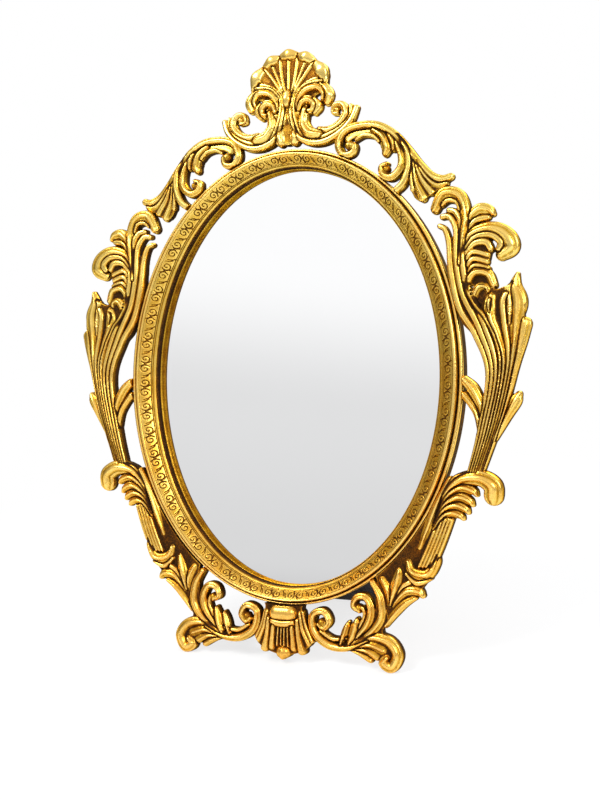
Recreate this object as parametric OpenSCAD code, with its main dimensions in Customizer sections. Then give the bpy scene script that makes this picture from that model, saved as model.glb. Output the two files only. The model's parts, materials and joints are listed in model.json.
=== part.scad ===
/* [Oval moulding] */
// Half width of the oval moulding, over its outer bead
rim_a = 114.4; // [108:0.2:122]
// Half height of the oval moulding, over its outer bead
rim_b = 144.8; // [138:0.2:154]
// Width of the moulding at the two sides
rim_side_w = 17.1; // [16:0.1:19]
// Width of the moulding at the top and the bottom
rim_end_w = 11.4; // [10.8:0.1:12.6]
// Height of the moulding's crown over the level of the moulding's foot
crown_h = 4.2; // [3:0.1:6]
// Depth from the level of the moulding's foot to the front of the glass
glass_depth = 10.5; // [9.5:0.1:13]
// Depth of the moulding's outer wall behind its foot
rim_back = 8.5; // [7:0.1:9.5]
// Wall that stands round the glass behind the moulding, at the two sides
rear_wall_side = 7.1; // [6:0.1:8]
// Wall that stands round the glass behind the moulding, at the top and bottom
rear_wall_end = 4.6; // [4.2:0.1:5]

/* [Glass and back] */
// Thickness of the mirror glass
glass_t = 3; // [2:0.1:4]
// How far the glass is covered by the moulding's lip, at the sides
glass_cover = 4.5; // [3:0.1:5.5]
// Thickness of the packing card behind the glass
card_t = 1.2; // [0.8:0.1:2.5]
// Thickness of the back board
board_t = 2.5; // [2:0.1:5]
// Thickness of the velvet on the back board and on the strut
velvet_t = 0.8; // [0.5:0.1:1.2]
// Room all round the glass, card and board in the rebate
rebate_gap = 0.5; // [0.3:0.1:1]

/* [Clips] */
// Number of retaining clips round the back
clip_count = 8; // [6:2:12]
// Length of a clip
clip_len = 19; // [15:0.5:24]
// Width of a clip
clip_w = 7; // [6:0.5:9]
// Thickness of a clip
clip_t = 0.8; // [0.6:0.1:1.2]
// Diameter of a clip screw's shank
clip_screw_d = 2; // [1.6:0.1:2.2]
// Length of a clip screw's shank under its head
clip_screw_len = 6; // [5:0.5:7]

/* [Scrollwork] */
// Thickness of the castings, from their flat back to their common crowns
cast_t = 8.5; // [7.5:0.1:9.5]
// How far those crowns stand in front of the moulding's foot
cast_front = 6; // [4.5:0.1:6.5]
// Gap at each brazed joint
braze_gap = 0.06; // [0.03:0.01:0.1]
// How much of each foot is filed flat
foot_flat = 1.2; // [1:0.1:1.6]

/* [Stand] */
// Angle by which the mirror leans back
lean = 12; // [9:0.5:15]
// Angle between the back and the opened strut
strut_angle = 22; // [20:0.5:26]
// Height of the hinge pin over the middle of the glass
hinge_v = 50; // [40:1:62]
// Width of the strut at its top
strut_top_w = 38; // [36:1:50]
// Width of the strut at its foot
strut_foot_w = 64; // [50:1:84]
// Thickness of the strut's wooden core
strut_core_t = 4; // [3:0.1:6]
// Height of the rubber foot under the strut
strut_pad_h = 7; // [5:0.5:9]
// Width of the hinge
hinge_w = 34; // [30:1:35]
// Diameter of the hinge pin
pin_d = 2.4; // [2:0.1:3]
// Clearance all round the pin in the moving knuckle
pin_clear = 0.05; // [0.03:0.01:0.1]
// Thickness of the hinge plates
leaf_t = 1.2; // [1:0.1:1.5]
// Height of each hinge plate
leaf_h = 28; // [24:1:36]
// Diameter of a hinge screw's shank
leaf_screw_d = 2; // [1.6:0.1:2.4]

/* [Hidden] */

gold = "#d9a928";
// Radius of a dome's flat top, as a share of its base
dome_top = 0.4;
// Sides of an oval, and rings between two points of a strand
rim_sides = 72;
ring_steps = 2;
// How far a cut runs past the face that it opens
past = 1;
// Room across a screw in its hole, and across it in a clip's wider hole
screw_room = 0.1;
clip_room = 0.2;

// Half axes of the glass opening, the rebate and the wall round it
sight_a = rim_a - rim_side_w;
sight_b = rim_b - rim_end_w;
rebate_a = sight_a + glass_cover + rebate_gap;
rebate_b = sight_b + glass_cover + rebate_gap;
rear_a = rebate_a + rear_wall_side;
rear_b = rebate_b + rear_wall_end;

// Levels from the front to the back; 0 is the level of the moulding's foot
cast_back = cast_t - cast_front;
glass_back = -glass_depth - glass_t;
card_back = glass_back - card_t;
board_back = card_back - board_t;
rear_z = board_back - velvet_t;

// The moulding from its outer edge (0) to the glass opening (1), with its heights
bead_h = crown_h - 2;
lip_h = -glass_depth + 3.2;
moulding = [[0, bead_h - 1.3], [0.045, bead_h - 0.1], [0.12, bead_h - 0.2], [0.165, bead_h - 1.6],
    [0.205, crown_h - 0.9], [0.28, crown_h], [0.35, crown_h - 0.5], [0.73, -1.2], [0.765, -1.9],
    [0.9, -3.2], [0.94, lip_h + 0.2], [1, lip_h]];

// The scrollwork was drawn round an oval of these half axes, on a casting of this thickness
drawn = [114.4, 144.8, 8.5];
// It follows the rim's size and the casting's thickness: shares across, up, in half width and in height
follow = [rim_a / drawn[0], rim_b / drawn[1], min(rim_a / drawn[0], rim_b / drawn[1]), cast_t / drawn[2]];
function placed(p) = [for (i = [0 : len(p) - 1]) p[i] * follow[i]];

// Each strand of the scrollwork is a list of [across, up, half width, height over the flat back].
// Only the right half is drawn, as seen from the front.
crest_middle = [
    [[-3, 204.3, 3.2, 7], [3, 204.3, 3.2, 7]],
    [[0, 178.4, 3.2, 8], [0, 171.5, 3.5, 8.5]]];
crest_lobes = [
    [[9, 202.4, 3.5, 7], [14.2, 200.2, 3.6, 7]],
    [[19.8, 195.2, 3.9, 7], [23, 189.4, 4.1, 7]],
    [[25.4, 180, 2.4, 6.5], [28, 175, 3, 6]],
    [[12.2, 169.8, 4.6, 9.5], [18.6, 169.6, 4.2, 8.5]],
    [[4.9, 155.5, 3, 8.5], [4.6, 150.4, 3.6, 9]]];
crest_strands = [
    [[1.4, 177, 1, 6], [6.2, 202.5, 1.4, 5.5]],
    [[3, 178, 1, 6], [17, 198, 1.5, 5.5]],
    [[4.2, 176, 2, 7.5], [3.8, 166, 2.8, 8.5], [8.2, 153.4, 3.4, 9], [16, 148.7, 3.6, 9],
        [26, 148.8, 3.8, 8.5], [36, 153.6, 3.8, 8], [42, 160.8, 3.4, 7], [44.2, 167.6, 2.8, 5.5]],
    [[21, 154.6, 2.4, 7], [28, 154.2, 2.6, 7.5], [35, 157.4, 2.7, 7.5], [39.2, 163.6, 2.7, 7.5],
        [36.8, 169.4, 2.3, 7], [31.8, 169.6, 1.7, 7], [30.4, 165, 1.3, 6.5], [34.2, 163.9, 1, 6.5]],
    [[8, 166, 1.5, 8], [7, 173.4, 2.2, 8.5], [12, 181, 3, 9], [20, 183, 3, 8.5],
        [23.9, 178, 2, 7.5]],
    [[11.4, 167, 2.6, 9], [10.8, 159.5, 2.8, 9], [15, 153, 3.9, 9.5], [21.6, 151.2, 3, 9]]];
crest_ground = [[0, 155], [8, 160], [24, 180], [27, 187], [26.5, 193], [15, 203], [0, 206.5]];

upper_strands = [
    [[42, 144.2, 1.3, 8.5], [45.6, 142.8, 1.7, 8.5], [44, 138.2, 2, 8.5], [38, 137.6, 2.3, 8.5],
        [34.8, 143.6, 2.6, 8.5], [37.8, 151, 2.7, 8.5], [46, 154.4, 2.7, 8.5],
        [59, 154, 2.7, 8.5], [69.4, 148.4, 2.8, 8.5], [77.8, 139.4, 2.8, 8],
        [87, 127.6, 2.6, 7], [94, 120.4, 2.7, 6.5], [101, 117.4, 2.8, 6.5],
        [106.6, 118.8, 2.2, 5.5]],
    [[39, 147.6, 2.6, 6.5], [46, 150.4, 3.4, 6.5], [57, 150.2, 3.6, 7], [64, 145, 3.4, 8],
        [66, 137.4, 2.7, 8]],
    [[71, 144, 2, 8], [75.4, 136, 2.4, 8.5], [75.8, 127, 2.4, 8.5], [70.4, 121, 2.4, 8.5],
        [64.2, 122.6, 2.1, 8.5], [63, 127.6, 1.7, 8.5], [66.6, 129.8, 1.3, 8.5]],
    [[73, 146, 1.6, 8], [79.6, 136.4, 2.2, 8.5], [80.8, 126, 2.2, 8.5], [77.4, 117, 2.3, 8.5],
        [72.4, 112.4, 2.2, 8]],
    [[83, 132, 1.4, 7], [84.2, 118, 2, 7], [89.4, 106.6, 2.4, 7]],
    [[85, 130, 1.4, 7], [91, 118, 2, 7], [102.4, 114.8, 2, 6]]];
upper_eyes = [[43, 142.5, 2.3, 9.5], [66.7, 126.1, 2.3, 9]];
upper_ground = [[78, 138], [82, 112], [88, 105], [95, 109], [104, 114], [98, 118], [88, 127]];

plume_strands = [
    [[119.4, -57, 1.8, 8], [125.6, -34, 2.1, 8], [131, 0, 2.5, 8], [123.6, 24, 2.8, 8],
        [112.8, 43, 3, 8.5], [108.2, 64, 3, 8], [107, 80, 2.8, 7.5], [103.6, 89.6, 2.6, 7],
        [99.6, 92, 2.4, 6]],
    [[121.8, -57, 1.4, 8], [129, -31, 1.6, 9], [135, 2, 2, 9], [128, 29, 2.4, 9],
        [117, 52, 2.8, 9.5], [113.6, 74, 3, 9.5], [116, 96, 3.2, 9.5], [111.6, 106.8, 3.8, 9.5],
        [102.4, 108.4, 3.9, 9.5], [97.2, 99.6, 3, 8.5]],
    [[123.6, -57, 1.4, 8], [132.6, -28, 1.6, 9], [138.4, 4, 2, 9], [132.8, 26, 2.3, 9],
        [121, 43, 2.6, 9.5], [117.6, 53, 2.8, 9.5], [122, 60.4, 2.8, 9.5], [129.6, 59.4, 2.8, 8.5],
        [132.6, 52.2, 2.6, 7]],
    [[125.2, -57, 1.4, 8], [135, -26, 1.6, 9], [141.2, 6, 2, 9], [137.6, 28, 2.2, 9],
        [127.4, 38, 2.2, 9], [129, 45.8, 2, 9], [135, 45, 1.9, 8], [134.4, 39, 1.6, 8]],
    [[126.4, -57, 1.2, 7.5], [137.4, -23, 1.5, 8], [144, 8, 2, 8], [146, 30, 3, 7],
        [148, 43, 4.6, 6.5], [146, 56.6, 3.2, 5.5]],
    [[127.2, -57, 1, 7], [139.6, -22, 1.2, 7.5], [146.6, 5, 1.6, 7], [150.6, 20, 2.4, 6],
        [152.6, 31, 3, 5.5]],
    [[141, 28, 2, 7], [140.4, 44, 3, 7], [141.4, 54.4, 1.8, 6]],
    [[134, -38, 1.4, 6.5], [141.4, -24, 2.3, 6.5], [147, -12.6, 3, 5.5]],
    [[126.6, -34, 1.6, 7], [125.6, -21, 2.4, 7.5], [120.6, -10.6, 3.4, 8], [115.2, -5, 3.4, 8]],
    [[113.6, 78, 1.7, 8], [116.8, 90, 2.6, 8.5], [123.6, 97.6, 3.6, 8], [131.4, 96, 3, 6.5]],
    [[113.4, 72, 1.8, 8], [118.6, 82.4, 2.6, 8.5], [130, 87.2, 3.2, 8.5], [140.6, 83.4, 3.6, 7.5],
        [144.8, 75.4, 3.6, 7], [138, 70, 3.2, 6]],
    [[115, 70, 1.8, 8], [122, 79.4, 3.4, 8.5], [131.4, 80.6, 3.4, 8.5], [136, 74.6, 2.6, 7]],
    [[116, 61.4, 1.8, 8], [121, 69.6, 2.6, 8.5], [129.2, 66.8, 2.4, 7.5]]];
plume_ground = [[118, -57], [125.5, -30], [129.8, 0], [126.5, 13], [114, 31], [109, 45],
    [106, 70], [118, 84], [131, 76], [129, 60], [132, 51.5], [148, 51.5], [150, 26], [144, -5],
    [128, -57]];
// Small through piercings between the leaves: [across, up, across, up, half width]
plume_eyelets = [[117, 73, 119.6, 74.4, 1], [142.8, 36.4, 142.6, 39.6, 1]];

leaf_strands = [
    [[101, -82, 1.8, 8], [105.4, -69, 2.8, 8.5], [114, -61, 3.9, 9], [125, -59.6, 4, 9.5],
        [133.8, -64, 4.6, 9], [134.2, -71.4, 5.2, 8.2]],
    [[99.6, -84, 1.7, 8], [105.2, -72.6, 2.5, 8.5], [114, -67.4, 2.9, 9], [121.6, -69.4, 2.7, 8]],
    [[98.4, -88, 1.8, 8], [104, -77.6, 2.8, 8.5], [112.4, -73.6, 3.4, 9], [119, -76.6, 3.2, 8]],
    [[97.4, -92, 1.8, 8], [102.6, -83.4, 2.6, 8.5], [110, -80.4, 3.2, 8.5], [115.4, -83, 2.9, 7.5]],
    [[106.8, -61.6, 1.2, 7.5], [97.6, -81, 1.7, 7.5], [87.4, -104, 1.3, 6]],
    [[81.8, -112.4, 2.2, 8.5], [85.4, -119, 3, 9.5], [94, -119.4, 3, 9.5], [98.2, -110.6, 2.2, 8]],
    [[80.8, -119.6, 1.5, 8], [87.4, -125, 1.9, 8.5], [95.2, -121.8, 1.6, 8]],
    [[71.6, -139.6, 1.4, 7], [79.6, -130.8, 2.3, 8], [88.2, -131, 2.8, 8]],
    [[68, -149.6, 1.4, 7], [75.6, -141, 1.8, 7.5], [84, -134.6, 1.8, 7]],
    [[69.8, -139.6, 1.3, 7], [68.8, -130.6, 2.2, 7.5], [65.4, -125, 2.2, 7.5]],
    [[70.4, -139.6, 1.4, 7.5], [73, -129, 2.8, 8], [75.2, -120, 3, 8]]];
// The fluted stem runs from the leaf to the collar between these two edges
stem_left = [[101.6, -84, 1.5, 7.5], [96, -99, 1.5, 8], [89, -115, 1.5, 8]];
stem_right = [[108.4, -86, 1.5, 7.5], [103.4, -100, 1.5, 8], [97.2, -115, 1.5, 8]];
stem_flutes = 4;
leaf_ground = [[104, -66], [97, -79], [82, -99], [64, -119.5], [61, -123], [68, -150.6],
    [74.6, -144], [84, -135], [92, -126], [98, -116], [107, -90], [114, -82], [118, -72], [112, -64]];

foot_strands = [
    [[58.6, -126.4, 2, 8], [64, -136, 2.6, 8.5], [64, -148.6, 2.8, 8.5], [55, -160, 2.7, 8.5],
        [42, -167, 2.2, 8]],
    [[50.6, -145, 1.2, 8], [46.4, -142, 1.9, 8.5], [48.6, -136.6, 2.4, 8.5], [54.6, -136.2, 2.6, 8.5],
        [58, -143.6, 2.7, 8.5], [55.2, -153.4, 2.8, 8.5], [47, -162.6, 2.2, 7.5]],
    [[56, -162, 1.6, 8], [44, -167.2, 2.5, 8.5], [31, -167.2, 3, 8.5], [21.4, -160.4, 3, 8.5],
        [19.6, -149.8, 2.7, 8.5], [26.4, -146.8, 2.6, 8.5], [30.2, -152.4, 2.3, 8.5],
        [27.4, -156.2, 1.8, 8.3]],
    [[44, -166, 2.2, 8], [45.6, -157.6, 3.4, 8.5], [45.8, -151.4, 3, 7.5]],
    [[46, -166.4, 1.8, 8], [57, -160, 2.6, 8.5], [69, -161.6, 3.4, 8.5], [74.8, -169.2, 3.6, 8.5],
        [71.4, -177, 3.6, 8.5], [66.4, -175, 3.5, 8.5]],
    [[47, -167.2, 1.4, 7.5], [57, -164.8, 2.8, 8], [65.6, -167.6, 2.8, 7.5]],
    [[46, -168, 1.4, 7], [54, -169.6, 2.8, 7.5], [60, -173.8, 2.7, 7]]];
foot_eyes = [[50.6, -142.3, 2.3, 9], [25.9, -153.4, 3, 9]];
foot_ground = [[36, -166], [45, -164], [55, -155], [61, -146], [61, -133], [66.6, -140],
    [70.4, -151], [65.4, -156], [70, -162], [74, -170], [64, -173], [54, -171]];

apron_middle = [
    [[-5.4, -151.8, 4.4, 12.4], [5.4, -151.8, 4.4, 12.4]],
    [[-1.6, -175.2, 4, 11], [1.6, -175.2, 4, 11]]];
apron_strands = [
    [[1.9, -156, 0.9, 9.6], [2, -171, 1, 10]],
    [[5.8, -156, 1.3, 10.4], [7.2, -170.6, 1.5, 10.4]],
    [[9.6, -152, 1.6, 10], [12.6, -172.6, 2.8, 10]],
    [[12.4, -148, 1.6, 9], [14.6, -158, 1.8, 9.4], [18.6, -167, 2, 8.6]]];
apron_ground = [[0, -138], [13, -140], [15.6, -158], [20, -167], [14, -172], [6, -175], [0, -176]];

ground_h = 4 * follow[3];
apron_ground_h = 7 * follow[3];

// Brazed joints between the castings: each runs through two points
crest_joint = [[36.6, 150.8], [42.4, 156.4]];
plume_joint = [[91, 102.6], [105, 114.6]];
leaf_joint = [[108, -58.4], [130, -54]];
foot_joint = [[60.8, -121], [68.6, -146.6]];
apron_joint = [[15.4, -146], [21.6, -169.4]];

// The hinge pin, seen from the side, and the strut's section when it is folded
knuckle_r = pin_d / 2 + 1.4;
pin_z = rear_z - knuckle_r;
knuckle_gap = 0.2;
knuckle_mid = hinge_w * 0.36;
strut_front_z = rear_z - leaf_t - 0.2;
strut_back_z = strut_front_z - strut_core_t - 2 * velvet_t;
strut_top_v = -knuckle_r - 0.6;
crank_top = 1;
stop_clear = 0.12;

// The stop lug on the fixed leaf, and the lip of the crank that comes up against it
lug_w = 8;
lug_t = 1.4;
// How far from a hinge plate's edges its screws sit
screw_inset = 6;
// Outline of the strut: its corners are cut at the top, and its sides run straight over the foot
top_corner_w = 3;
top_corner_h = 4;
foot_straight = 14;

// Where the pin stands over the ground, and how long the strut is
foot_low = min([for (s = foot_strands) for (p = s) placed(p)[1] - p[2]]);
stand_z = -foot_low * cos(lean) + cast_back * sin(lean) - foot_flat;
pin_height = stand_z + hinge_v * cos(lean) + pin_z * sin(lean);
splay = strut_angle - lean;
strut_len = pin_height / cos(splay);

// The origin is under the middle of the depth, from the apron's lowest lobe to the strut's foot
apron_tip = placed(apron_middle[1][0]);
front_y = (apron_tip[1] - dome_top * apron_tip[2]) * sin(lean) - (apron_tip[3] - cast_back) * cos(lean);
strut_back_y = hinge_v * sin(lean) - pin_z * cos(lean) + strut_len * sin(splay)
    + (pin_z - strut_back_z) / cos(splay);
stand_y = -(front_y + strut_back_y) / 2;

// Catmull-Rom curve through a strand's points
function ease(a, b, c, d, t) = 0.5 * (2 * b + (c - a) * t + (2 * a - 5 * b + 4 * c - d) * t * t
    + (3 * b - a - 3 * c + d) * t * t * t);
function smooth(s) = len(s) < 3 ? s : concat(
    [for (i = [0 : len(s) - 2]) for (k = [0 : ring_steps - 1])
        ease(s[max(i - 1, 0)], s[i], s[i + 1], s[min(i + 2, len(s) - 1)], k / ring_steps)],
    [s[len(s) - 1]]);

// Section of a strand: half widths and heights, from one side over the crown to the other
section = [[1, 0], [0.82, 0.66], [0, 1], [-0.82, 0.66], [-1, 0]];

function along(c, i) = let(d = c[min(i + 1, len(c) - 1)] - c[max(i - 1, 0)],
    n = norm([d[0], d[1]])) [d[0] / n, d[1] / n];
function ring(c, i) = let(t = along(c, i), p = c[i])
    [for (q = section) [p[0] - t[1] * q[0] * p[2], p[1] + t[0] * q[0] * p[2],
        -cast_back + q[1] * p[3]]];

// A rounded boss closes a strand's end or is the eye of a volute
module dome(p) {
    translate([p[0], p[1], -cast_back]) {
        cylinder(r = p[2], h = p[3] * 0.5, $fn = 8);
        cylinder(r = p[2] * dome_top, h = p[3], $fn = 8);
    }
}

module boss(p) {
    hull()
        dome(p);
}

// A leaf tip or shell lobe between two domes
module lobe(ends) {
    hull()
        for (e = ends)
            dome(placed(e));
}

module strand(points) {
    c = smooth([for (p = points) placed(p)]);
    m = len(section);
    n = len(c);
    rings = [for (i = [0 : n - 1]) each ring(c, i)];
    sides = [for (i = [0 : n - 2]) for (j = [0 : m - 1]) let(k = (j + 1) % m)
        each [[i * m + j, (i + 1) * m + k, i * m + k], [i * m + j, (i + 1) * m + j, (i + 1) * m + k]]];
    first = [for (j = [0 : m - 1]) j];
    last = [for (j = [m - 1 : -1 : 0]) (n - 1) * m + j];
    polyhedron(points = rings, faces = concat(sides, [first, last]));
    boss(c[n - 1]);
}

module ground(outline, height) {
    translate([0, 0, -cast_back])
        linear_extrude(height)
            polygon([for (p = outline) placed(p)]);
}

module oval(a, b) {
    polygon([for (i = [0 : rim_sides - 1]) let(t = 360 * i / rim_sides) [a * cos(t), b * sin(t)]]);
}

// How far cutting blocks reach past what they cut, along the ground and over the castings
cut_reach = 1.7 * rim_b;
cut_rise = 4 * rim_back;

// Everything inside the rim's outer wall, to trim the castings that are brazed to it
module rim_plug() {
    translate([0, 0, -cast_back - past])
        linear_extrude(cast_back + cut_rise)
            oval(rim_a + braze_gap, rim_b + braze_gap);
}

// Trims away what lies to the right of the line from joint[0] to joint[1], or to its left
module beyond(joint, right = true) {
    p = placed(joint[0]);
    q = placed(joint[1]);
    turn = atan2(q[1] - p[1], q[0] - p[0]);
    translate([p[0], p[1], -cast_back - past])
        rotate(turn)
            translate([-cut_reach, right ? braze_gap / 2 - 2 * cut_reach : -braze_gap / 2, 0])
                cube([2 * cut_reach, 2 * cut_reach, cast_back + cut_rise]);
}

// Leans the mirror back and stands it on the ground
module stand() {
    translate([0, stand_y, stand_z])
        rotate([90 - lean, 0, 0])
            children();
}

module flip(left) {
    mirror([left ? 1 : 0, 0, 0])
        children();
}

// The castings
module crest() {
    color(gold)
        stand()
            difference() {
                union() {
                    for (e = crest_middle)
                        lobe(e);
                    for (side = [0, 1])
                        mirror([side, 0, 0]) {
                            for (s = crest_strands)
                                strand(s);
                            for (e = crest_lobes)
                                lobe(e);
                            ground(crest_ground, ground_h);
                        }
                }
                rim_plug();
                beyond(crest_joint);
                mirror([1, 0, 0])
                    beyond(crest_joint);
            }
}

module upper_scroll(left) {
    color(gold)
        stand()
            flip(left)
                difference() {
                    union() {
                        for (s = upper_strands)
                            strand(s);
                        for (e = upper_eyes)
                            boss(placed(e));
                        ground(upper_ground, ground_h);
                    }
                    rim_plug();
                    beyond(crest_joint, false);
                    beyond(plume_joint);
                }
}

module upper_scroll_left() { upper_scroll(true); }
module upper_scroll_right() { upper_scroll(false); }

module side_plume(left) {
    color(gold)
        stand()
            flip(left)
                difference() {
                    union() {
                        for (s = plume_strands)
                            strand(s);
                        ground(plume_ground, ground_h);
                    }
                    rim_plug();
                    beyond(plume_joint, false);
                    beyond(leaf_joint);
                    for (e = plume_eyelets)
                        hull()
                            for (i = [0, 2])
                                translate([e[i] * follow[0], e[i + 1] * follow[1], 0])
                                    cylinder(r = e[4] * follow[2], h = cut_rise, center = true, $fn = 8);
                }
}

module side_plume_left() { side_plume(true); }
module side_plume_right() { side_plume(false); }

module lower_leaf(left) {
    color(gold)
        stand()
            flip(left)
                difference() {
                    union() {
                        for (s = leaf_strands)
                            strand(s);
                        for (i = [0 : stem_flutes - 1])
                            strand([for (k = [0 : len(stem_left) - 1])
                                stem_left[k] + (stem_right[k] - stem_left[k]) * i / (stem_flutes - 1)]);
                        ground(leaf_ground, ground_h);
                    }
                    rim_plug();
                    beyond(leaf_joint, false);
                    beyond(foot_joint);
                }
}

module lower_leaf_left() { lower_leaf(true); }
module lower_leaf_right() { lower_leaf(false); }

module foot_scroll(left) {
    color(gold)
        difference() {
            stand()
                flip(left)
                    difference() {
                        union() {
                            for (s = foot_strands)
                                strand(s);
                            for (e = foot_eyes)
                                boss(placed(e));
                            ground(foot_ground, ground_h);
                        }
                        rim_plug();
                        beyond(foot_joint, false);
                        beyond(apron_joint);
                    }
            below_ground();
        }
}

module foot_scroll_left() { foot_scroll(true); }
module foot_scroll_right() { foot_scroll(false); }

module below_ground() {
    translate([-cut_reach, -cut_reach, -cut_rise])
        cube([2 * cut_reach, 2 * cut_reach, cut_rise]);
}

module apron_shell() {
    color(gold)
        stand()
            difference() {
                union() {
                    for (e = apron_middle)
                        lobe(e);
                    for (side = [0, 1])
                        mirror([side, 0, 0]) {
                            for (s = apron_strands)
                                strand(s);
                            ground(apron_ground, apron_ground_h);
                        }
                }
                rim_plug();
                beyond(apron_joint, false);
                mirror([1, 0, 0])
                    beyond(apron_joint, false);
            }
}

// The moulding: one closed skin of oval rings, with the rebate behind
module oval_rim() {
    rings = concat(
        [for (p = moulding) [rim_a - p[0] * rim_side_w, rim_b - p[0] * rim_end_w, p[1]]],
        [[sight_a, sight_b, -glass_depth], [rebate_a, rebate_b, -glass_depth],
            [rebate_a, rebate_b, rear_z], [rear_a, rear_b, rear_z], [rear_a, rear_b, -rim_back],
            [rim_a, rim_b, -rim_back]]);
    m = len(rings);
    pts = [for (i = [0 : rim_sides - 1]) let(t = 360 * i / rim_sides)
        each [for (r = rings) [r[0] * cos(t), r[1] * sin(t), r[2]]]];
    faces = [for (i = [0 : rim_sides - 1]) for (j = [0 : m - 1])
        let(k = (j + 1) % m, n = (i + 1) % rim_sides)
        each [[i * m + j, i * m + k, n * m + k], [i * m + j, n * m + k, n * m + j]]];
    color(gold)
        stand()
            difference() {
                polyhedron(points = pts, faces = faces);
                at_clips()
                    translate([0, 0, rear_z - past])
                        cylinder(d = clip_screw_d + screw_room, h = clip_screw_len + past, $fn = 24);
            }
}

// The packet behind the lip
module slab(front, thick, hole_d = 0) {
    translate([0, 0, front - thick])
        difference() {
            linear_extrude(thick)
                oval(rebate_a - rebate_gap, rebate_b - rebate_gap);
            if (hole_d > 0)
                at_leaf_screws(hinge_v + screw_low)
                    translate([0, 0, -past])
                        cylinder(d = hole_d, h = thick + 2 * past, $fn = 24);
        }
}

module mirror_glass() {
    color("#dfe3e6")
        stand()
            slab(-glass_depth, glass_t);
}

module packing_card() {
    color("#b99d6b")
        stand()
            slab(glass_back, card_t);
}

module back_board() {
    color("#8a6a45")
        stand()
            slab(card_back, board_t, leaf_screw_d + screw_room);
}

module back_velvet() {
    color("#1d1a1c")
        stand()
            slab(board_back, velvet_t, leaf_screw_d + screw_room);
}

// Clips: each is screwed to the wall round the glass and reaches in over the back board
clip_seat_a = (rebate_a + rear_a) / 2;
clip_seat_b = (rebate_b + rear_b) / 2;
// How far a clip reaches outwards past its screw
clip_heel = 1.9;
module at_clips() {
    for (i = [0 : clip_count - 1]) {
        t = 360 * (i + 0.5) / clip_count;
        translate([clip_seat_a * cos(t), clip_seat_b * sin(t), 0])
            rotate(atan2(clip_seat_a * sin(t), clip_seat_b * cos(t)) + 180)
                children();
    }
}

module retaining_clips() {
    reach = clip_len - clip_w / 2 - clip_heel;
    color("#b98e33")
        stand()
            at_clips()
                translate([0, 0, rear_z - clip_t])
                    difference() {
                        linear_extrude(clip_t)
                            union() {
                                translate([-clip_heel, -clip_w / 2])
                                    square([reach + clip_heel, clip_w]);
                                translate([reach, 0])
                                    circle(d = clip_w, $fn = 32);
                            }
                        translate([0, 0, -past])
                            cylinder(d = clip_screw_d + clip_room, h = clip_t + 2 * past, $fn = 24);
                    }
}

// A round-headed screw that stands with its head on level 0 and its shank along +Z
slot_w = 0.5;
slot_depth = 0.45;
head_top = 0.72;
sunk = 0.01;
module screw(shank_d, shank_len, head_d, head_h) {
    translate([0, 0, -sunk])
        cylinder(d = shank_d, h = shank_len + sunk, $fn = 24);
    difference() {
        translate([0, 0, -head_h])
            cylinder(d1 = head_d * head_top, d2 = head_d, h = head_h, $fn = 32);
        translate([-head_d, -slot_w / 2, -head_h - past])
            cube([2 * head_d, slot_w, slot_depth + past]);
    }
}

module clip_screws() {
    color("#a58238")
        stand()
            at_clips()
                translate([0, 0, rear_z - clip_t])
                    screw(clip_screw_d, clip_screw_len + clip_t - 0.4, clip_screw_d * 1.75, 1.1);
}

// The strut: its parts are drawn folded against the back and turned open about the pin
screw_low = knuckle_r + screw_inset;
screw_high = leaf_h - screw_inset;
screw_x = hinge_w / 2 - screw_inset;
module at_leaf_screws(base) {
    for (x = [-1, 1])
        for (v = [0, 1])
            translate([x * screw_x, base + v * (screw_high - screw_low), 0])
                children();
}

module opened() {
    translate([0, hinge_v, pin_z])
        rotate([strut_angle, 0, 0])
            translate([0, 0, -pin_z])
                children();
}

// Rounds the end of a knuckle about the pin's line, between two distances along it
module knuckle(x0, x1) {
    translate([x0, 0, pin_z])
        rotate([0, 90, 0])
            cylinder(r = knuckle_r, h = x1 - x0, $fn = 40);
}

module pin_hole(clear) {
    translate([-hinge_w, 0, pin_z])
        rotate([0, 90, 0])
            cylinder(r = pin_d / 2 + clear, h = 2 * hinge_w, $fn = 40);
}

module hinge_fixed_leaf() {
    mid = knuckle_mid / 2 + knuckle_gap;
    relief_v = knuckle_r + 2.5 * knuckle_gap;
    stop_v = crank_reach * sin(strut_angle + crank_turn) + stop_clear;
    color("#c19a3d")
        stand()
            translate([0, hinge_v, 0])
                difference() {
                    union() {
                        translate([-hinge_w / 2, 0, rear_z - leaf_t])
                            cube([hinge_w, leaf_h, leaf_t]);
                        knuckle(-hinge_w / 2, -mid);
                        knuckle(mid, hinge_w / 2);
                        translate([-lug_w / 2, stop_v, pin_z - crank_reach])
                            cube([lug_w, lug_t, rear_z - pin_z + crank_reach]);
                    }
                    translate([-mid, -past, rear_z - leaf_t - past])
                        cube([2 * mid, relief_v + past, leaf_t + 2 * past]);
                    pin_hole(0);
                    at_leaf_screws(screw_low)
                        translate([0, 0, rear_z - leaf_t - past])
                            cylinder(d = leaf_screw_d + screw_room, h = leaf_t + 2 * past, $fn = 24);
                }
}

// The crank's top edge, as seen from the pin: how far out it is and at what turn
crank_out = pin_z - strut_back_z + leaf_t;
crank_reach = norm([crank_top, crank_out]);
crank_turn = atan2(crank_top, crank_out);

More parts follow.
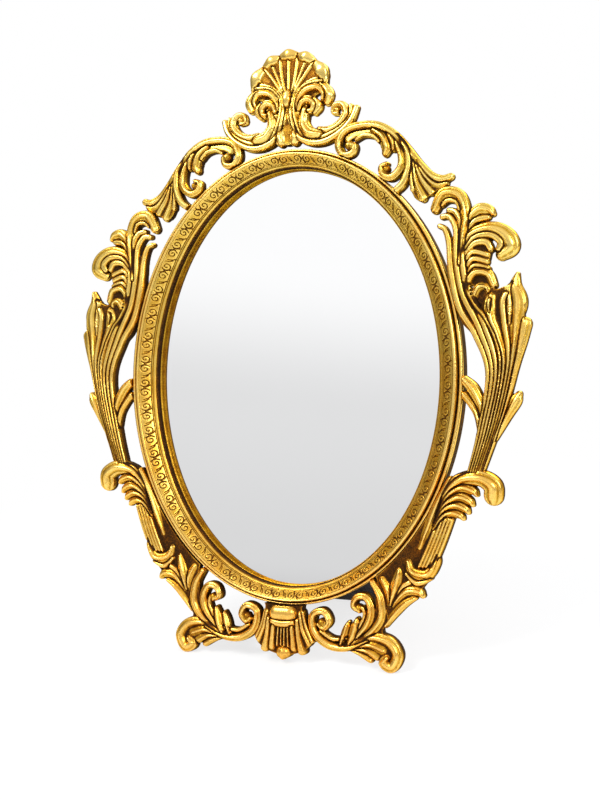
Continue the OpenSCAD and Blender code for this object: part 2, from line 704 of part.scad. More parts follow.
module hinge_moving_leaf() {
    half = knuckle_mid / 2;
    plate_z = strut_back_z - leaf_t;
    color("#c19a3d")
        stand()
            opened()
                difference() {
                    union() {
                        translate([-hinge_w / 2, strut_top_v - leaf_h, plate_z])
                            cube([hinge_w, leaf_h, leaf_t]);
                        translate([-half, strut_top_v - leaf_t, plate_z])
                            cube([knuckle_mid, crank_top - strut_top_v + leaf_t, leaf_t]);
                        translate([-half, crank_top - lug_t, plate_z])
                            cube([knuckle_mid, lug_t, pin_z - plate_z]);
                        knuckle(-half, half);
                    }
                    pin_hole(pin_clear);
                    at_leaf_screws(strut_top_v - screw_high)
                        translate([0, 0, plate_z - past])
                            cylinder(d = leaf_screw_d + screw_room, h = leaf_t + 2 * past, $fn = 24);
                }
}

module hinge_pin() {
    head = 0.9;
    color("#b9b9b4")
        stand()
            translate([0, hinge_v, pin_z])
                rotate([0, 90, 0])
                    translate([0, 0, -hinge_w / 2 - head]) {
                        cylinder(d = pin_d, h = hinge_w + 2 * head, $fn = 40);
                        for (z = [0, hinge_w + head])
                            translate([0, 0, z])
                                cylinder(d = pin_d + 1.4, h = head, $fn = 40);
                    }
}

module fixed_leaf_screws() {
    color("#a58238")
        stand()
            translate([0, hinge_v, 0])
                at_leaf_screws(screw_low)
                    translate([0, 0, rear_z - leaf_t])
                        screw(leaf_screw_d, leaf_t + velvet_t + board_t - 0.3, leaf_screw_d * 2, 1.2);
}

module moving_leaf_screws() {
    color("#a58238")
        stand()
            opened()
                at_leaf_screws(strut_top_v - screw_high)
                    translate([0, 0, strut_back_z - leaf_t])
                        screw(leaf_screw_d, leaf_t + velvet_t + strut_core_t - 0.4, leaf_screw_d * 2, 1.2);
}

// Outline of the strut, drawn in by a margin all round
module strut_outline(margin) {
    low = -strut_len + strut_pad_h;
    top_half = strut_top_w / 2 - margin;
    foot_half = strut_foot_w / 2 - margin;
    top = strut_top_v - margin;
    shoulder = strut_top_v - top_corner_h;
    polygon([[-foot_half, low + margin], [foot_half, low + margin], [foot_half, low + foot_straight],
        [top_half, shoulder], [top_half - top_corner_w, top], [top_corner_w - top_half, top],
        [-top_half, shoulder], [-foot_half, low + foot_straight]]);
}

module strut_core() {
    color("#8a6a45")
        stand()
            opened()
                difference() {
                    translate([0, 0, strut_back_z + velvet_t])
                        linear_extrude(strut_core_t)
                            strut_outline(velvet_t);
                    at_leaf_screws(strut_top_v - screw_high)
                        translate([0, 0, strut_back_z - past])
                            cylinder(d = leaf_screw_d + screw_room, h = velvet_t + strut_core_t + 2 * past,
                                $fn = 24);
                }
}

module strut_velvet() {
    color("#1d1a1c")
        stand()
            opened()
                difference() {
                    translate([0, 0, strut_back_z])
                        linear_extrude(strut_core_t + 2 * velvet_t)
                            strut_outline(0);
                    translate([0, 0, strut_back_z + velvet_t])
                        linear_extrude(strut_core_t)
                            strut_outline(velvet_t);
                    at_leaf_screws(strut_top_v - screw_high)
                        translate([0, 0, strut_back_z - past])
                            cylinder(d = leaf_screw_d + screw_room, h = velvet_t + 1.5 * past, $fn = 24);
                }
}

// The rubber foot is drawn longer than the strut and cut off level with the ground
module strut_foot() {
    pad_cut = 4;
    color("#262322")
        difference() {
            stand()
                opened()
                    translate([-strut_foot_w / 2, -strut_len - pad_cut, strut_back_z])
                        cube([strut_foot_w, strut_pad_h + pad_cut, strut_core_t + 2 * velvet_t]);
            below_ground();
        }
}

oval_rim();
mirror_glass();
packing_card();
back_board();
back_velvet();
retaining_clips();
clip_screws();
crest();
upper_scroll_left();
upper_scroll_right();
side_plume_left();
side_plume_right();
lower_leaf_left();
lower_leaf_right();
foot_scroll_left();
foot_scroll_right();
apron_shell();
hinge_fixed_leaf();
hinge_moving_leaf();
hinge_pin();
fixed_leaf_screws();
moving_leaf_screws();
strut_core();
strut_velvet();
strut_foot();
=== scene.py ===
import json
import math

import bmesh
import bpy
import numpy as np
from mathutils import Matrix, Vector


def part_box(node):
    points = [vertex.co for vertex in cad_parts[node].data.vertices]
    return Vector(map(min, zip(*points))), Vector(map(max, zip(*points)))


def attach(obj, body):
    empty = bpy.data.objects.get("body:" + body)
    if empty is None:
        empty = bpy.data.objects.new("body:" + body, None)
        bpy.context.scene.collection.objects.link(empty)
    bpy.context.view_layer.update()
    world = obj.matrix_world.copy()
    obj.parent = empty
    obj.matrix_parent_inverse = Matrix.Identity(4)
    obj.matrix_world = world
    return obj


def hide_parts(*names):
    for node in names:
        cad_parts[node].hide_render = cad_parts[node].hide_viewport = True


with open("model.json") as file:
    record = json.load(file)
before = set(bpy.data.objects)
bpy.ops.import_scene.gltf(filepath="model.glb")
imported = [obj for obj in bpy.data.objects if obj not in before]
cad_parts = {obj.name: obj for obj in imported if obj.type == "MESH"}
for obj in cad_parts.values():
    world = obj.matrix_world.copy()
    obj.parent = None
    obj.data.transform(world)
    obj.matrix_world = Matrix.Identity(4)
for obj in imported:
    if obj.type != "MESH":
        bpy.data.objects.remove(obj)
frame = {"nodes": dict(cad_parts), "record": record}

bl_info = {
    "name": "Oval table mirror",
    "version": (1, 0, 0),
    "blender": (4, 5, 0),
    "location": "View3D > Sidebar > Mirror",
    "description": "Gilt rim, scrollwork castings, glass, velvet back and easel strut of a table mirror",
    "category": "Add Mesh",
}

MM = 0.001

# The mirror's own frame runs across, up and out of the glass, in millimetres, from the middle of the oval.
# Sizes are those of the part's source: half axes of the rim, and widths of its moulding
RIM_A, RIM_B = 114.4, 144.8
SIDE_W, END_W = 17.1, 11.4
# From the moulding's inner edge out to the rebate, and the rear wall's thickness at the sides and the ends
REBATE_STEP = 5
REAR_WALL_A, REAR_WALL_B = 7.1, 4.6
REBATE_A, REBATE_B = RIM_A - SIDE_W + REBATE_STEP, RIM_B - END_W + REBATE_STEP
REAR_A, REAR_B = REBATE_A + REAR_WALL_A, REBATE_B + REAR_WALL_B
# Levels of the castings' flat back, the moulding's back, the rear wall's back and the glass's front
CAST_BACK = -2.5
RIM_BACK = -8.5
REAR_Z = -18.0
GLASS_Z = -10.5
GLASS_T = 3
REBATE_GAP = .5
VELVET_T = .8
LEAN = math.radians(12)

# The strut, as it lies folded against the back: the angle it opens by, its pin's height and level, the
# level of its rear face, its thickness with the velvet, its top edge from the pin, its rubber foot's height
OPEN = math.radians(22)
HINGE_V = 50
PIN_Z = -20.6
STRUT_BACK = -25.0
STRUT_T = 5.6
STRUT_TOP = -3.2
PAD_H = 7
# Its outline: half widths at the foot and at the top, the cut corners, and the straight sides over the foot
STRUT_FOOT = 32
STRUT_SHOULDER = 19
CORNER_W, CORNER_H = 3, 4
FOOT_STRAIGHT = 14
# Hinge screws: half their distance across, their rows from the pin and from the strut's top, and their radius
SCREW_X = 11
SCREW_ROWS = (8.6, 22)
SCREW_R = 1.05


def stand_matrix():
    """From the mirror's own frame to the row frame."""
    low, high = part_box("mirror_glass")
    middle = (low + high) / 2
    turn = Matrix.Rotation(math.pi / 2 - LEAN, 4, "X")
    place = middle - turn @ Vector((0, 0, (GLASS_Z - GLASS_T / 2) * MM))
    return Matrix.Translation(place) @ turn @ Matrix.Scale(MM, 4)


STAND = stand_matrix()
STRUT = (STAND @ Matrix.Translation((0, HINGE_V, PIN_Z)) @ Matrix.Rotation(OPEN, 4, "X")
         @ Matrix.Translation((0, 0, -PIN_Z)))
STRUT_LEN = frame["record"]["behaviour"]["joints"][0]["pos_m"][2] / MM / math.cos(OPEN - LEAN)


class MirrorSizes(bpy.types.PropertyGroup):
    """Sizes of the surface work"""
    casting_grain: bpy.props.FloatProperty(
        name="Casting grain", description="Finest detail of the castings, in millimetres",
        default=0.46, min=0.3, max=1.5)
    engraving_depth: bpy.props.FloatProperty(
        name="Engraving depth", description="Depth of the engraved scrolls on the rim, in millimetres",
        default=0.38, min=0, max=0.6)
    engraving_units: bpy.props.IntProperty(
        name="Engraved scrolls", description="How many scrolls run round the rim", default=48, min=20, max=90)
    lens: bpy.props.FloatProperty(
        name="Lens", description="Focal length of the camera", default=48.74, unit="CAMERA")


class MirrorColours(bpy.types.PropertyGroup):
    """Colours of the finishes"""
    gold: bpy.props.FloatVectorProperty(
        name="Gold", description="Gilding on the heights", subtype="COLOR", size=3,
        default=(0.54, 0.335, 0.030), min=0, max=1)
    # Rubbed gold is also the colour of the painted highlight on the castings' crowns
    rubbed_gold_and_highlight: bpy.props.FloatVectorProperty(
        name="Rubbed gold", description="Gilding where it is rubbed bright", subtype="COLOR", size=3,
        default=(0.94, 0.68, 0.19), min=0, max=1)
    bronze: bpy.props.FloatVectorProperty(
        name="Bronze", description="Colour between the heights and the recesses", subtype="COLOR", size=3,
        default=(0.20, 0.075, 0.008), min=0, max=1)
    patina: bpy.props.FloatVectorProperty(
        name="Patina", description="Dark wax in the recesses", subtype="COLOR", size=3,
        default=(0.022, 0.007, 0.002), min=0, max=1)
    silver: bpy.props.FloatVectorProperty(
        name="Silvering", description="Colour of the mirror", subtype="COLOR", size=3,
        default=(0.985, 0.988, 0.995), min=0, max=1)
    velvet: bpy.props.FloatVectorProperty(
        name="Velvet", description="Colour of the velvet", subtype="COLOR", size=3,
        default=(0.020, 0.016, 0.017), min=0, max=1)


# Strands of the scrollwork: [style, [across, up, half width, height over the flat back], ...] in millimetres.
# Only the right half is drawn, as seen from the front. Styles are the sections below.
CREST = [
    ["round", [1.4, 177, .9, 6], [4.4, 190, 1.1, 6], [6.2, 202.5, 1.3, 5.8]],
    ["round", [2.8, 178, .9, 6], [10, 189, 1.1, 6], [17, 198, 1.3, 5.8]],
    ["round", [2, 178, .7, 5.6], [7.2, 189.6, .8, 5.6], [11.4, 199, 1, 5.6]],
    ["round", [4.4, 178.6, .9, 6], [13, 186, 1, 6], [22.6, 188.6, 1.2, 5.8]],
    ["round", [3.2, 177, 1.2, 7], [2.6, 166, 1.6, 8.5], [7, 152.8, 1.9, 9], [15, 147.6, 2.1, 9],
     [25, 147, 2.1, 8.5], [35, 151.4, 2.1, 8], [42.6, 158.6, 2, 7], [46, 166.8, 1.9, 5.5]],
    ["round", [5.4, 176, 1, 7], [5, 166, 1.3, 8], [9.4, 154, 1.5, 8.5], [17, 149.8, 1.6, 8],
     [27, 150.6, 1.7, 8], [36.6, 156, 1.8, 7], [41.4, 163, 1.6, 6], [42.3, 168.6, 1.3, 5.5]],
    ["roll", [21, 155.4, 2, 7], [28, 154.4, 2.5, 7.5], [35, 157.4, 2.7, 7.5], [39.2, 163.6, 2.7, 7.5],
     [36.8, 169.4, 2.3, 7], [31.8, 169.6, 1.7, 7], [30.4, 165, 1.3, 6.5], [34.2, 163.9, 1, 6.5]],
    ["roll", [8, 166, 1.5, 8], [7, 173.4, 2, 8.5], [12, 180.6, 2.6, 9], [20, 182, 2.5, 8.5],
     [23.9, 178, 2, 7.5], [23.4, 174.6, 1.5, 6.5]],
    ["round", [5.5, 178, 1, 7], [12, 184, 1.3, 7.5], [23.2, 186, 1.3, 6.5]],
    ["leaf", [22, 184, 1.6, 6], [25.6, 181, 2.8, 7], [27.6, 176.6, 3.3, 7.2], [26.4, 172.4, 2.6, 6.2]],
    ["roll", [8.2, 168.6, 2, 9], [10, 173, 2.6, 9.4], [14.4, 174.6, 2.8, 9.4], [18, 171.6, 2.7, 9],
     [17, 167.6, 2.2, 8.6], [13.6, 167.6, 1.7, 8.6], [13.4, 170.4, 1.1, 8.4]],
    ["round", [18, 174, 2.2, 8.5], [21, 170, 2.6, 8], [18.4, 166.4, 2, 7.5]],
    ["leaf", [12, 168, 3, 9.2], [11, 160, 3.4, 9.4], [14.6, 153.6, 4.4, 9.8], [21.4, 151.8, 3.6, 9.4]],
    ["leaf", [5, 157, 2.4, 8.5], [5.2, 152.4, 3.6, 9.4], [4.8, 149.6, 3.4, 9]],
    ["round", [2.2, 170.5, 1.2, 7.5], [1.8, 162, 1.3, 8], [8.6, 154.8, 1, 7.5]],
    ["round", [7.6, 203.4, 2.6, 6.2], [11.8, 202.2, 3.7, 7.6], [15.8, 199.8, 2.6, 6.2]],
    ["round", [19, 196.8, 2.8, 6.2], [22.4, 192.6, 4.4, 7.6], [24, 187.2, 2.9, 6.2]],
]
CREST_MIDDLE = [
    ["round", [-4.4, 204.6, 2.6, 6.2], [0, 205, 3.9, 7.6], [4.4, 204.6, 2.6, 6.2]],
    ["round", [0, 180, 2.6, 9.2], [0, 176, 3.3, 10.4], [0, 172.8, 2.6, 9.6]],
    ["round", [0, 178, .9, 6], [0, 190, 1, 6], [0, 201, 1.2, 5.8]],
]
CREST_EYES = [[33.5, 166.3, 1.9, 7.5]]
CREST_GROUND = [[0, 168], [8, 172], [24, 180], [27, 187], [26.5, 193], [20, 199], [15, 203], [7, 205],
                [0, 206]]
CREST_LOWER_GROUND = [[0, 147], [9, 149], [12, 156], [8, 166], [14, 174], [7, 178], [0, 180]]

UPPER = [
    ["roll", [42, 144.2, 1.3, 8.5], [45.6, 142.8, 1.8, 8.5], [44, 138.2, 2.2, 8.5], [38, 137.8, 2.4, 8.5],
     [34.8, 143.6, 2.6, 8.5], [37.8, 151, 2.7, 8.5], [46, 154.4, 2.7, 8.5], [59, 154, 2.7, 8.5],
     [69.4, 148.4, 2.8, 8.5], [77.8, 139.4, 2.8, 8], [87, 127.6, 2.7, 7], [94, 120.4, 2.7, 6.5],
     [101, 117.4, 2.8, 6.5], [106.2, 118.8, 2.4, 5.5]],
    ["round", [46.6, 146, 1, 7.5], [51.5, 148.4, 1.4, 8], [58, 147.2, 1.5, 8], [62, 143.6, 1.6, 8]],
    ["flat", [40, 147.6, 2.6, 5.5], [46, 151, 3.2, 5.5], [55, 151.4, 3.2, 5.5], [64, 148, 3, 5.5]],
    ["leaf", [58, 151, 2.1, 8], [63.6, 146.6, 3.2, 8.8], [66.2, 140, 3.8, 8.6], [65.4, 136.4, 2.6, 7.6]],
    ["leaf", [67.4, 148.4, 2.2, 8], [70.6, 142.4, 3, 8.4], [70.8, 138.4, 2, 7.6]],
    ["roll", [70.6, 145, 1.8, 8], [75.2, 136, 2.4, 8.5], [75.6, 127, 2.7, 8.5], [70.2, 121.4, 2.7, 8.5],
     [64.4, 122.8, 2.4, 8.5], [63, 127.6, 1.9, 8.5], [66.6, 129.6, 1.4, 8.5]],
    ["round", [73, 146, 1.8, 8], [79.6, 136.4, 2.2, 8.5], [80.6, 126, 2.4, 8.5], [77.2, 117, 2.5, 8.5],
     [72.6, 112.8, 2.4, 8]],
    ["round", [82.2, 130, 1.1, 7], [82.4, 120, 1.5, 7], [82.8, 112.6, 1.6, 6.5]],
    ["leaf", [83.4, 131, 1.3, 7], [84.8, 118, 2, 7], [89.4, 107, 2.7, 7]],
    ["round", [84.4, 130, 1.3, 7], [88.6, 119, 1.9, 7], [94.8, 109.8, 2.1, 6.5]],
    ["leaf", [85, 129.6, 1.3, 7], [91.4, 119.4, 1.9, 7], [97.6, 114.4, 2.2, 6.5], [103.4, 114.8, 2, 6]],
]
UPPER_EYES = [[42.4, 142.6, 3, 9.5], [66.7, 126.1, 2.4, 9]]
UPPER_GROUND = [[78, 138], [82, 112], [88, 105], [95, 109], [104, 114], [98, 118], [88, 127]]

PLUME = [
    ["round", [118.6, -57, 1.1, 7.5], [124, -36, 1.3, 8], [129.8, 0, 1.7, 8], [122.4, 23, 2, 8],
     [112.4, 40, 2.2, 8], [107.6, 60, 2.3, 8], [105.8, 78, 2, 7], [103.2, 87, 1.9, 6.5],
     [99.6, 89.4, 1.7, 6]],
    ["round", [120, -57, 1.1, 8], [126.6, -33, 1.3, 8.5], [132.4, 1, 1.6, 8.5], [125.2, 26, 2, 8.5],
     [114.8, 48, 2.2, 9], [110.9, 68, 2.2, 9], [110.2, 86, 2, 8], [106.2, 94.2, 2, 7],
     [101.4, 94.8, 1.9, 6.5]],
    ["round", [121.4, -57, 1.1, 8], [129, -31, 1.3, 9], [135, 2, 1.6, 9], [128, 29, 2.1, 9],
     [117.6, 52, 2.5, 9.5], [114.2, 72, 2.5, 9.5], [113.6, 89, 2.1, 8.5], [110, 96.8, 2, 7.5],
     [105.4, 98.4, 1.9, 6.5]],
    ["leaf", [112.8, 66, 2.2, 9.5], [114.8, 82, 2.8, 9.5], [116, 96, 3.3, 9.5], [111.6, 106.8, 3.9, 9.5],
     [102.4, 108.4, 3.9, 9.5], [97.2, 99.8, 3.2, 8.5]],
    ["round", [112.6, 98, 1.3, 8], [110.4, 103, 1.5, 8.5], [105.4, 104.2, 1.6, 8], [101.4, 101.6, 1.5, 7.5]],
    ["roll", [122.8, -57, 1.1, 8], [131.4, -29, 1.3, 9], [137.4, 4, 1.6, 9], [132.4, 26, 2, 9],
     [121, 43, 2.5, 9.5], [117.4, 53, 2.8, 9.5], [121.6, 60.2, 2.8, 9.5], [129.4, 59.4, 2.8, 8.5],
     [132.8, 52.6, 2.4, 7]],
    ["leaf", [121.6, 40, 1.5, 8], [121.6, 46.6, 2.6, 8.8], [124.6, 51.6, 2.8, 9], [128.6, 51.2, 2.2, 8.4],
     [129.6, 48.6, 1.5, 7.4]],
    ["leaf", [124, -57, 1.1, 8], [133.6, -27, 1.3, 9], [139.4, 5, 1.7, 9], [136, 22, 2.4, 9.2],
     [131.8, 32, 3.3, 9.4], [130.6, 39.6, 4, 9.4], [131.4, 45.4, 3, 8.8]],
    ["round", [131, 36.4, 1, 9.8], [130.6, 41.4, 1.8, 10.2], [131.2, 44, 1.3, 9.8]],
    ["round", [125.2, -57, 1.1, 8], [135.6, -25, 1.3, 8.5], [142, 7, 1.6, 8.5], [139.6, 29, 2, 8],
     [138.4, 41, 2.3, 8], [140.4, 47, 2.2, 7.5]],
    ["leaf", [126.2, -57, 1, 7.5], [137.4, -23, 1.3, 8], [144, 8, 1.8, 8], [146, 30, 3.4, 7.4],
     [147, 42, 5.6, 7], [145.2, 51.6, 4, 6.4], [146.6, 58.6, 1.5, 5.4]],
    ["leaf", [127, -57, 1, 7], [139.4, -22, 1.2, 7.5], [146, 5, 2, 7], [149.2, 19, 3.2, 6.4],
     [151, 29.4, 4.2, 5.8]],
    ["leaf", [142.4, 30, 1.4, 7], [142.4, 40, 2.8, 7.2], [141.6, 49, 2.6, 6.6], [143.6, 53.6, 1.4, 6]],
    ["leaf", [134, -38, 1.4, 6.5], [141, -24.6, 2.6, 6.8], [145.6, -15.6, 3.7, 6.4],
     [147.6, -11.6, 2.2, 5.4]],
    ["leaf", [127, -34, 1.4, 7], [126, -20, 2.8, 7.8], [121, -9, 3.6, 8.4], [115.4, -3, 2.7, 8]],
    ["leaf", [124.6, -36, 1.2, 7], [122.8, -23, 2.2, 7.2], [115, -11.6, 2.3, 7]],
    ["leaf", [113.6, 78, 1.4, 8], [116.8, 90, 2.3, 8.5], [123.2, 97.6, 3.5, 8.4], [129.4, 97.2, 3.2, 7.4],
     [132, 94.8, 1.9, 6.2]],
    ["round", [114.6, 80, 1.2, 7.5], [120.6, 90.4, 2, 7.5], [129.2, 92.8, 1.9, 6]],
    ["leaf", [113.4, 72, 1.6, 8], [118.6, 82.6, 2.8, 8.5], [130, 86, 4.2, 8.8], [139, 82, 5.4, 8.2],
     [142.6, 75, 5.5, 7.4], [137.4, 70.8, 4.2, 6.2]],
    ["round", [114.4, 72, 1.4, 8], [121.6, 81, 2.1, 8.5], [131.4, 82.4, 2.7, 8.5], [137.2, 77.8, 2.7, 8],
     [135.8, 73.4, 2.2, 7]],
    ["round", [115, 70, 1.4, 8], [121, 77.2, 2.2, 8.5], [128.4, 77.8, 2.4, 8.5], [131.2, 73.8, 2, 8]],
    ["round", [115.6, 66.4, 1.3, 8], [120.4, 72.4, 1.7, 8.5], [129.2, 70.4, 1.7, 7.5]],
    ["round", [116, 62.4, 1.3, 8], [120.8, 68.2, 1.7, 8.5], [128.8, 66.4, 1.7, 7.5]],
    ["round", [116.8, 58.6, 1.3, 8], [121.6, 64.2, 1.6, 8.5], [129.6, 62.4, 1.6, 7.5]],
]
PLUME_GROUND = [[118, -57], [122.5, -40], [128.8, -10], [129.8, 0], [126.5, 13], [120, 24], [114, 31],
                [109, 45], [106, 60], [106, 80], [118, 84], [131, 76], [129, 60], [132, 50], [142, 52],
                [148, 50], [151, 40], [150, 26], [147, 10], [144, -5], [140, -18], [128, -57]]
# Small through piercings between the leaves
PLUME_PIERCINGS = [[117, 71.8, 119.6, 73.2, 1], [120.2, 47.6, 120, 52, 1], [142.8, 36.4, 142.6, 39.6, 1]]

LEAF = [
    ["leaf", [101, -82, 1.6, 8], [105.4, -69.6, 3, 8.5], [114, -62.2, 4.3, 9.2], [125, -60.9, 5, 9.8],
     [132.4, -65.2, 5.8, 9.3], [133, -71.2, 6, 8.4]],
    ["round", [103, -71, 1, 8], [110.6, -60.6, 1.4, 8.5], [122.6, -57.6, 1.5, 8.5]],
    ["leaf", [99.6, -84, 1.5, 8], [105.2, -72.6, 2.2, 8.5], [114, -67, 3.1, 9.2], [121, -68.6, 2.7, 8.4],
     [123, -71, 1.5, 7.4]],
    ["leaf", [98.4, -88, 1.5, 8], [104, -77.4, 2.3, 8.5], [112.4, -72.6, 3.1, 9.2],
     [118.6, -74.4, 2.6, 8.4], [120.6, -77, 1.5, 7.4]],
    ["leaf", [97.8, -90, 1.4, 8], [103, -80.8, 2.2, 8.5], [110.6, -77.4, 2.9, 9], [116.4, -79.4, 2.5, 8.2],
     [118, -81.6, 1.5, 7.2]],
    ["leaf", [97.4, -92, 1.4, 8], [102.6, -84.6, 2, 8.5], [108.6, -82, 2.6, 8.6], [113.6, -83.6, 2.3, 7.9],
     [115, -85.4, 1.4, 7]],
    ["leaf", [106.8, -61.6, 1.4, 7.5], [98.8, -78, 2.6, 8], [93.4, -92, 2.9, 7.6], [88.6, -104, 1.2, 6.2]],
    ["leaf", [81.6, -112.6, 2, 8.2], [84.6, -118.6, 3.3, 9.5], [93.4, -119.6, 3.5, 9.5],
     [98.8, -112.6, 2.6, 8.6], [99.6, -108.4, 1.5, 7.6]],
    ["round", [80.8, -119.6, 1.4, 8], [87.4, -125, 1.8, 8.5], [95.2, -121.8, 1.5, 8]],
    ["leaf", [71.6, -139.6, 1.4, 7], [79.6, -131, 2.8, 8.2], [87.6, -130, 2.9, 8], [90.2, -132.6, 1.9, 7.4]],
    ["leaf", [69.8, -139.6, 1.2, 7], [68.6, -131, 2.8, 7.8], [65.2, -124.6, 2.4, 7.4]],
    ["leaf", [70.4, -139.6, 1.3, 7.5], [73.2, -129, 3.6, 8.4], [75.4, -120.4, 2.6, 7.8],
     [75.6, -117.6, 1.3, 7]],
    ["round", [71, -139.6, 1, 7], [77, -129.2, 1.8, 7.5], [82.4, -125, 1.7, 7.5]],
    ["leaf", [67, -152.6, 1.6, 6.5], [72.4, -145.4, 2.3, 7.2], [78.8, -138.6, 2.4, 7.2],
     [85.6, -134.2, 1.6, 7]],
]
STEM_LEFT = [[101.2, -84, 1.0, 7.5], [95.6, -99, 1.0, 8], [88.6, -115, 1.0, 8]]
STEM_RIGHT = [[108.8, -86, 1.0, 7.5], [103.8, -100, 1.0, 8], [97.6, -115, 1.0, 8]]
STEM_FLUTES = 5
LEAF_GROUND = [[104, -66], [97, -79], [82, -99], [64, -119.5], [61, -123], [67.4, -151], [73, -145],
               [84, -135], [92, -126], [98, -116], [107, -90], [114, -82], [118, -72], [112, -64]]

FOOT = [
    ["roll", [58.6, -126.4, 2, 8], [64, -136, 2.7, 8.5], [64.2, -148.6, 2.8, 8.5], [55, -160, 2.7, 8.5],
     [42, -167, 2.3, 8]],
    ["roll", [50.6, -145, 1.2, 8], [46.4, -142, 1.9, 8.5], [48.6, -136.6, 2.4, 8.5],
     [54.6, -136.2, 2.6, 8.5], [58, -143.6, 2.7, 8.5], [55.2, -153.4, 2.8, 8.5], [47, -162.6, 2.2, 7.5]],
    ["round", [52.6, -142, 1, 7], [53.6, -147.6, 1.3, 7.2], [50, -155, 1.5, 7.2], [44, -161.4, 1.3, 7]],
    ["roll", [56, -162, 1.6, 8], [44, -167.4, 2.4, 8.5], [31, -167.4, 2.8, 8.5], [21, -160.4, 2.8, 8.5],
     [19.4, -149.8, 2.6, 8.5], [26.4, -146.8, 2.5, 8.5], [30.2, -152.4, 2.3, 8.5], [26.8, -157, 1.9, 8.5],
     [23.2, -154.8, 1.2, 8.5]],
    ["round", [42, -162, 1.3, 7.5], [33, -163, 1.5, 7.5], [25, -158.8, 1.3, 7.5]],
    ["leaf", [38.4, -166, 1.5, 8], [40.4, -160, 2.5, 8.6], [41.8, -155.6, 2.3, 8], [42.8, -152.4, 1.3, 7]],
    ["leaf", [43, -167, 1.8, 8], [46, -160.4, 3.1, 8.9], [47.8, -153.8, 2.9, 8.3], [48.6, -150, 1.6, 7.2]],
    ["roll", [46, -166.4, 1.6, 8], [57, -160, 2.5, 8.5], [69, -161.5, 3.4, 8.5], [74.9, -169.2, 3.6, 8.5],
     [71.4, -176.9, 3.7, 8.5], [66, -174.8, 3.4, 8.5], [68.4, -171.4, 2, 8.5]],
    ["leaf", [47, -167.2, 1.4, 7.5], [57, -164.8, 2.6, 8], [65.6, -167.4, 2.8, 7.5]],
    ["leaf", [46, -168, 1.4, 7], [55, -168.6, 2.5, 7.6], [61.6, -172, 2.5, 7]],
    ["leaf", [44, -168.8, 1.2, 6.5], [50.6, -170.6, 2, 7], [57.2, -174.2, 2.2, 6.5]],
]
FOOT_EYES = [[50.2, -142.3, 2.4, 9], [25.9, -153.4, 2.9, 9]]
FOOT_GROUND = [[36, -168.6], [45, -164], [55, -155], [61, -146], [61, -133], [66.6, -140], [69.6, -149],
               [65.4, -155.4], [70, -162], [74, -170], [64, -173], [54, -171]]

APRON = [
    ["round", [1, -158, .6, 9.4], [1.1, -170, .7, 9.6]],
    ["round", [3.2, -158, .6, 9.4], [3.8, -170, .8, 9.6]],
    ["round", [6.2, -156, 1.5, 10.4], [7, -164, 1.8, 10.4], [7.6, -171.2, 2.3, 10.2]],
    ["round", [9.8, -153, 1.5, 10], [10.8, -163, 1.8, 10.2], [12.8, -172.4, 2.8, 10]],
    ["round", [11.4, -149, 1.3, 9], [13.4, -159, 1.5, 9.4], [17.2, -167.4, 1.7, 8.6]],
    ["round", [12.8, -148, 1, 8], [15.4, -157.4, 1.1, 8], [19.4, -166, 1.3, 7.5]],
]
APRON_MIDDLE = [
    ["round", [-4.6, -149.6, 5.2, 12.2], [4.6, -149.6, 5.2, 12.2]],
    ["round", [-6.6, -154.6, 2.6, 11.4], [0, -155.6, 3, 12], [6.6, -154.6, 2.6, 11.4]],
    ["round", [-1.2, -174, 4, 10.6], [0, -174.2, 4.6, 11.4], [1.2, -174, 4, 10.6]],
]
APRON_GROUND = [[0, -140], [12.6, -141], [12.6, -147], [15.6, -158], [19.4, -166.4], [14, -172], [6, -175],
                [0, -176]]

# Sections of a strand: [share of the half width, share of the height], from its left side over the crown
SECTIONS = {
    "round": [[1, 0], [1, .54], [.93, .78], [.7, .92], [.36, .985], [0, 1], [-.36, .985], [-.7, .92],
              [-.93, .78], [-1, .54], [-1, 0], [1, 0]],
    "roll": [[1, 0], [1, .5], [.93, .74], [.78, .84], [.64, .80], [.54, .73], [.44, .84], [.16, .985],
             [-.14, 1], [-.5, .93], [-.84, .76], [-1, .45], [-1, 0], [1, 0]],
    "leaf": [[1, 0], [1, .5], [.88, .72], [.66, .82], [.5, .75], [.34, .9], [.1, .99], [-.1, .99],
             [-.34, .9], [-.5, .75], [-.66, .82], [-.88, .72], [-1, .5], [-1, 0], [1, 0]],
    "flat": [[1, 0], [1, .96], [.8, 1], [.3, .97], [0, .96], [-.3, .97], [-.8, 1], [-1, .96], [-1, 0],
             [1, 0]],
}
# Distance between a strand's sections, turns of its rounded tips, and the shares of its height that a tip
# keeps and loses
STATION = 0.8
TIP = [math.radians(t) for t in (25, 50, 72, 90)]
TIP_KEEPS, TIP_LOSES = .45, .55
WELD = 1e-4
# Shares of an eye's height under and over its widest place
EYE_WAIST, EYE_DOME = .55, .45
# One in so many points of its smooth line is enough for the outline of a ground plate
GROUND_STEP = 3
# Cutters of the piercings: their length and the level of their middle
PIERCING_LENGTH, PIERCING_Z = 30, -3


def smooth_line(points):
    """Smooth line through points, as rows of [across, up, half width, height]."""
    p = np.array(points, float)
    rows = []
    for i in range(len(p) - 1):
        a, b, c, d = p[max(i - 1, 0)], p[i], p[i + 1], p[min(i + 2, len(p) - 1)]
        count = max(2, int(np.linalg.norm((c - b)[:2]) / STATION))
        for t in np.arange(count) / count:
            rows.append(.5 * (2 * b + (c - a) * t + (2 * a - 5 * b + 4 * c - d) * t * t
                              + (3 * b - a - 3 * c + d) * t ** 3))
    rows.append(p[-1])
    return np.array(rows)


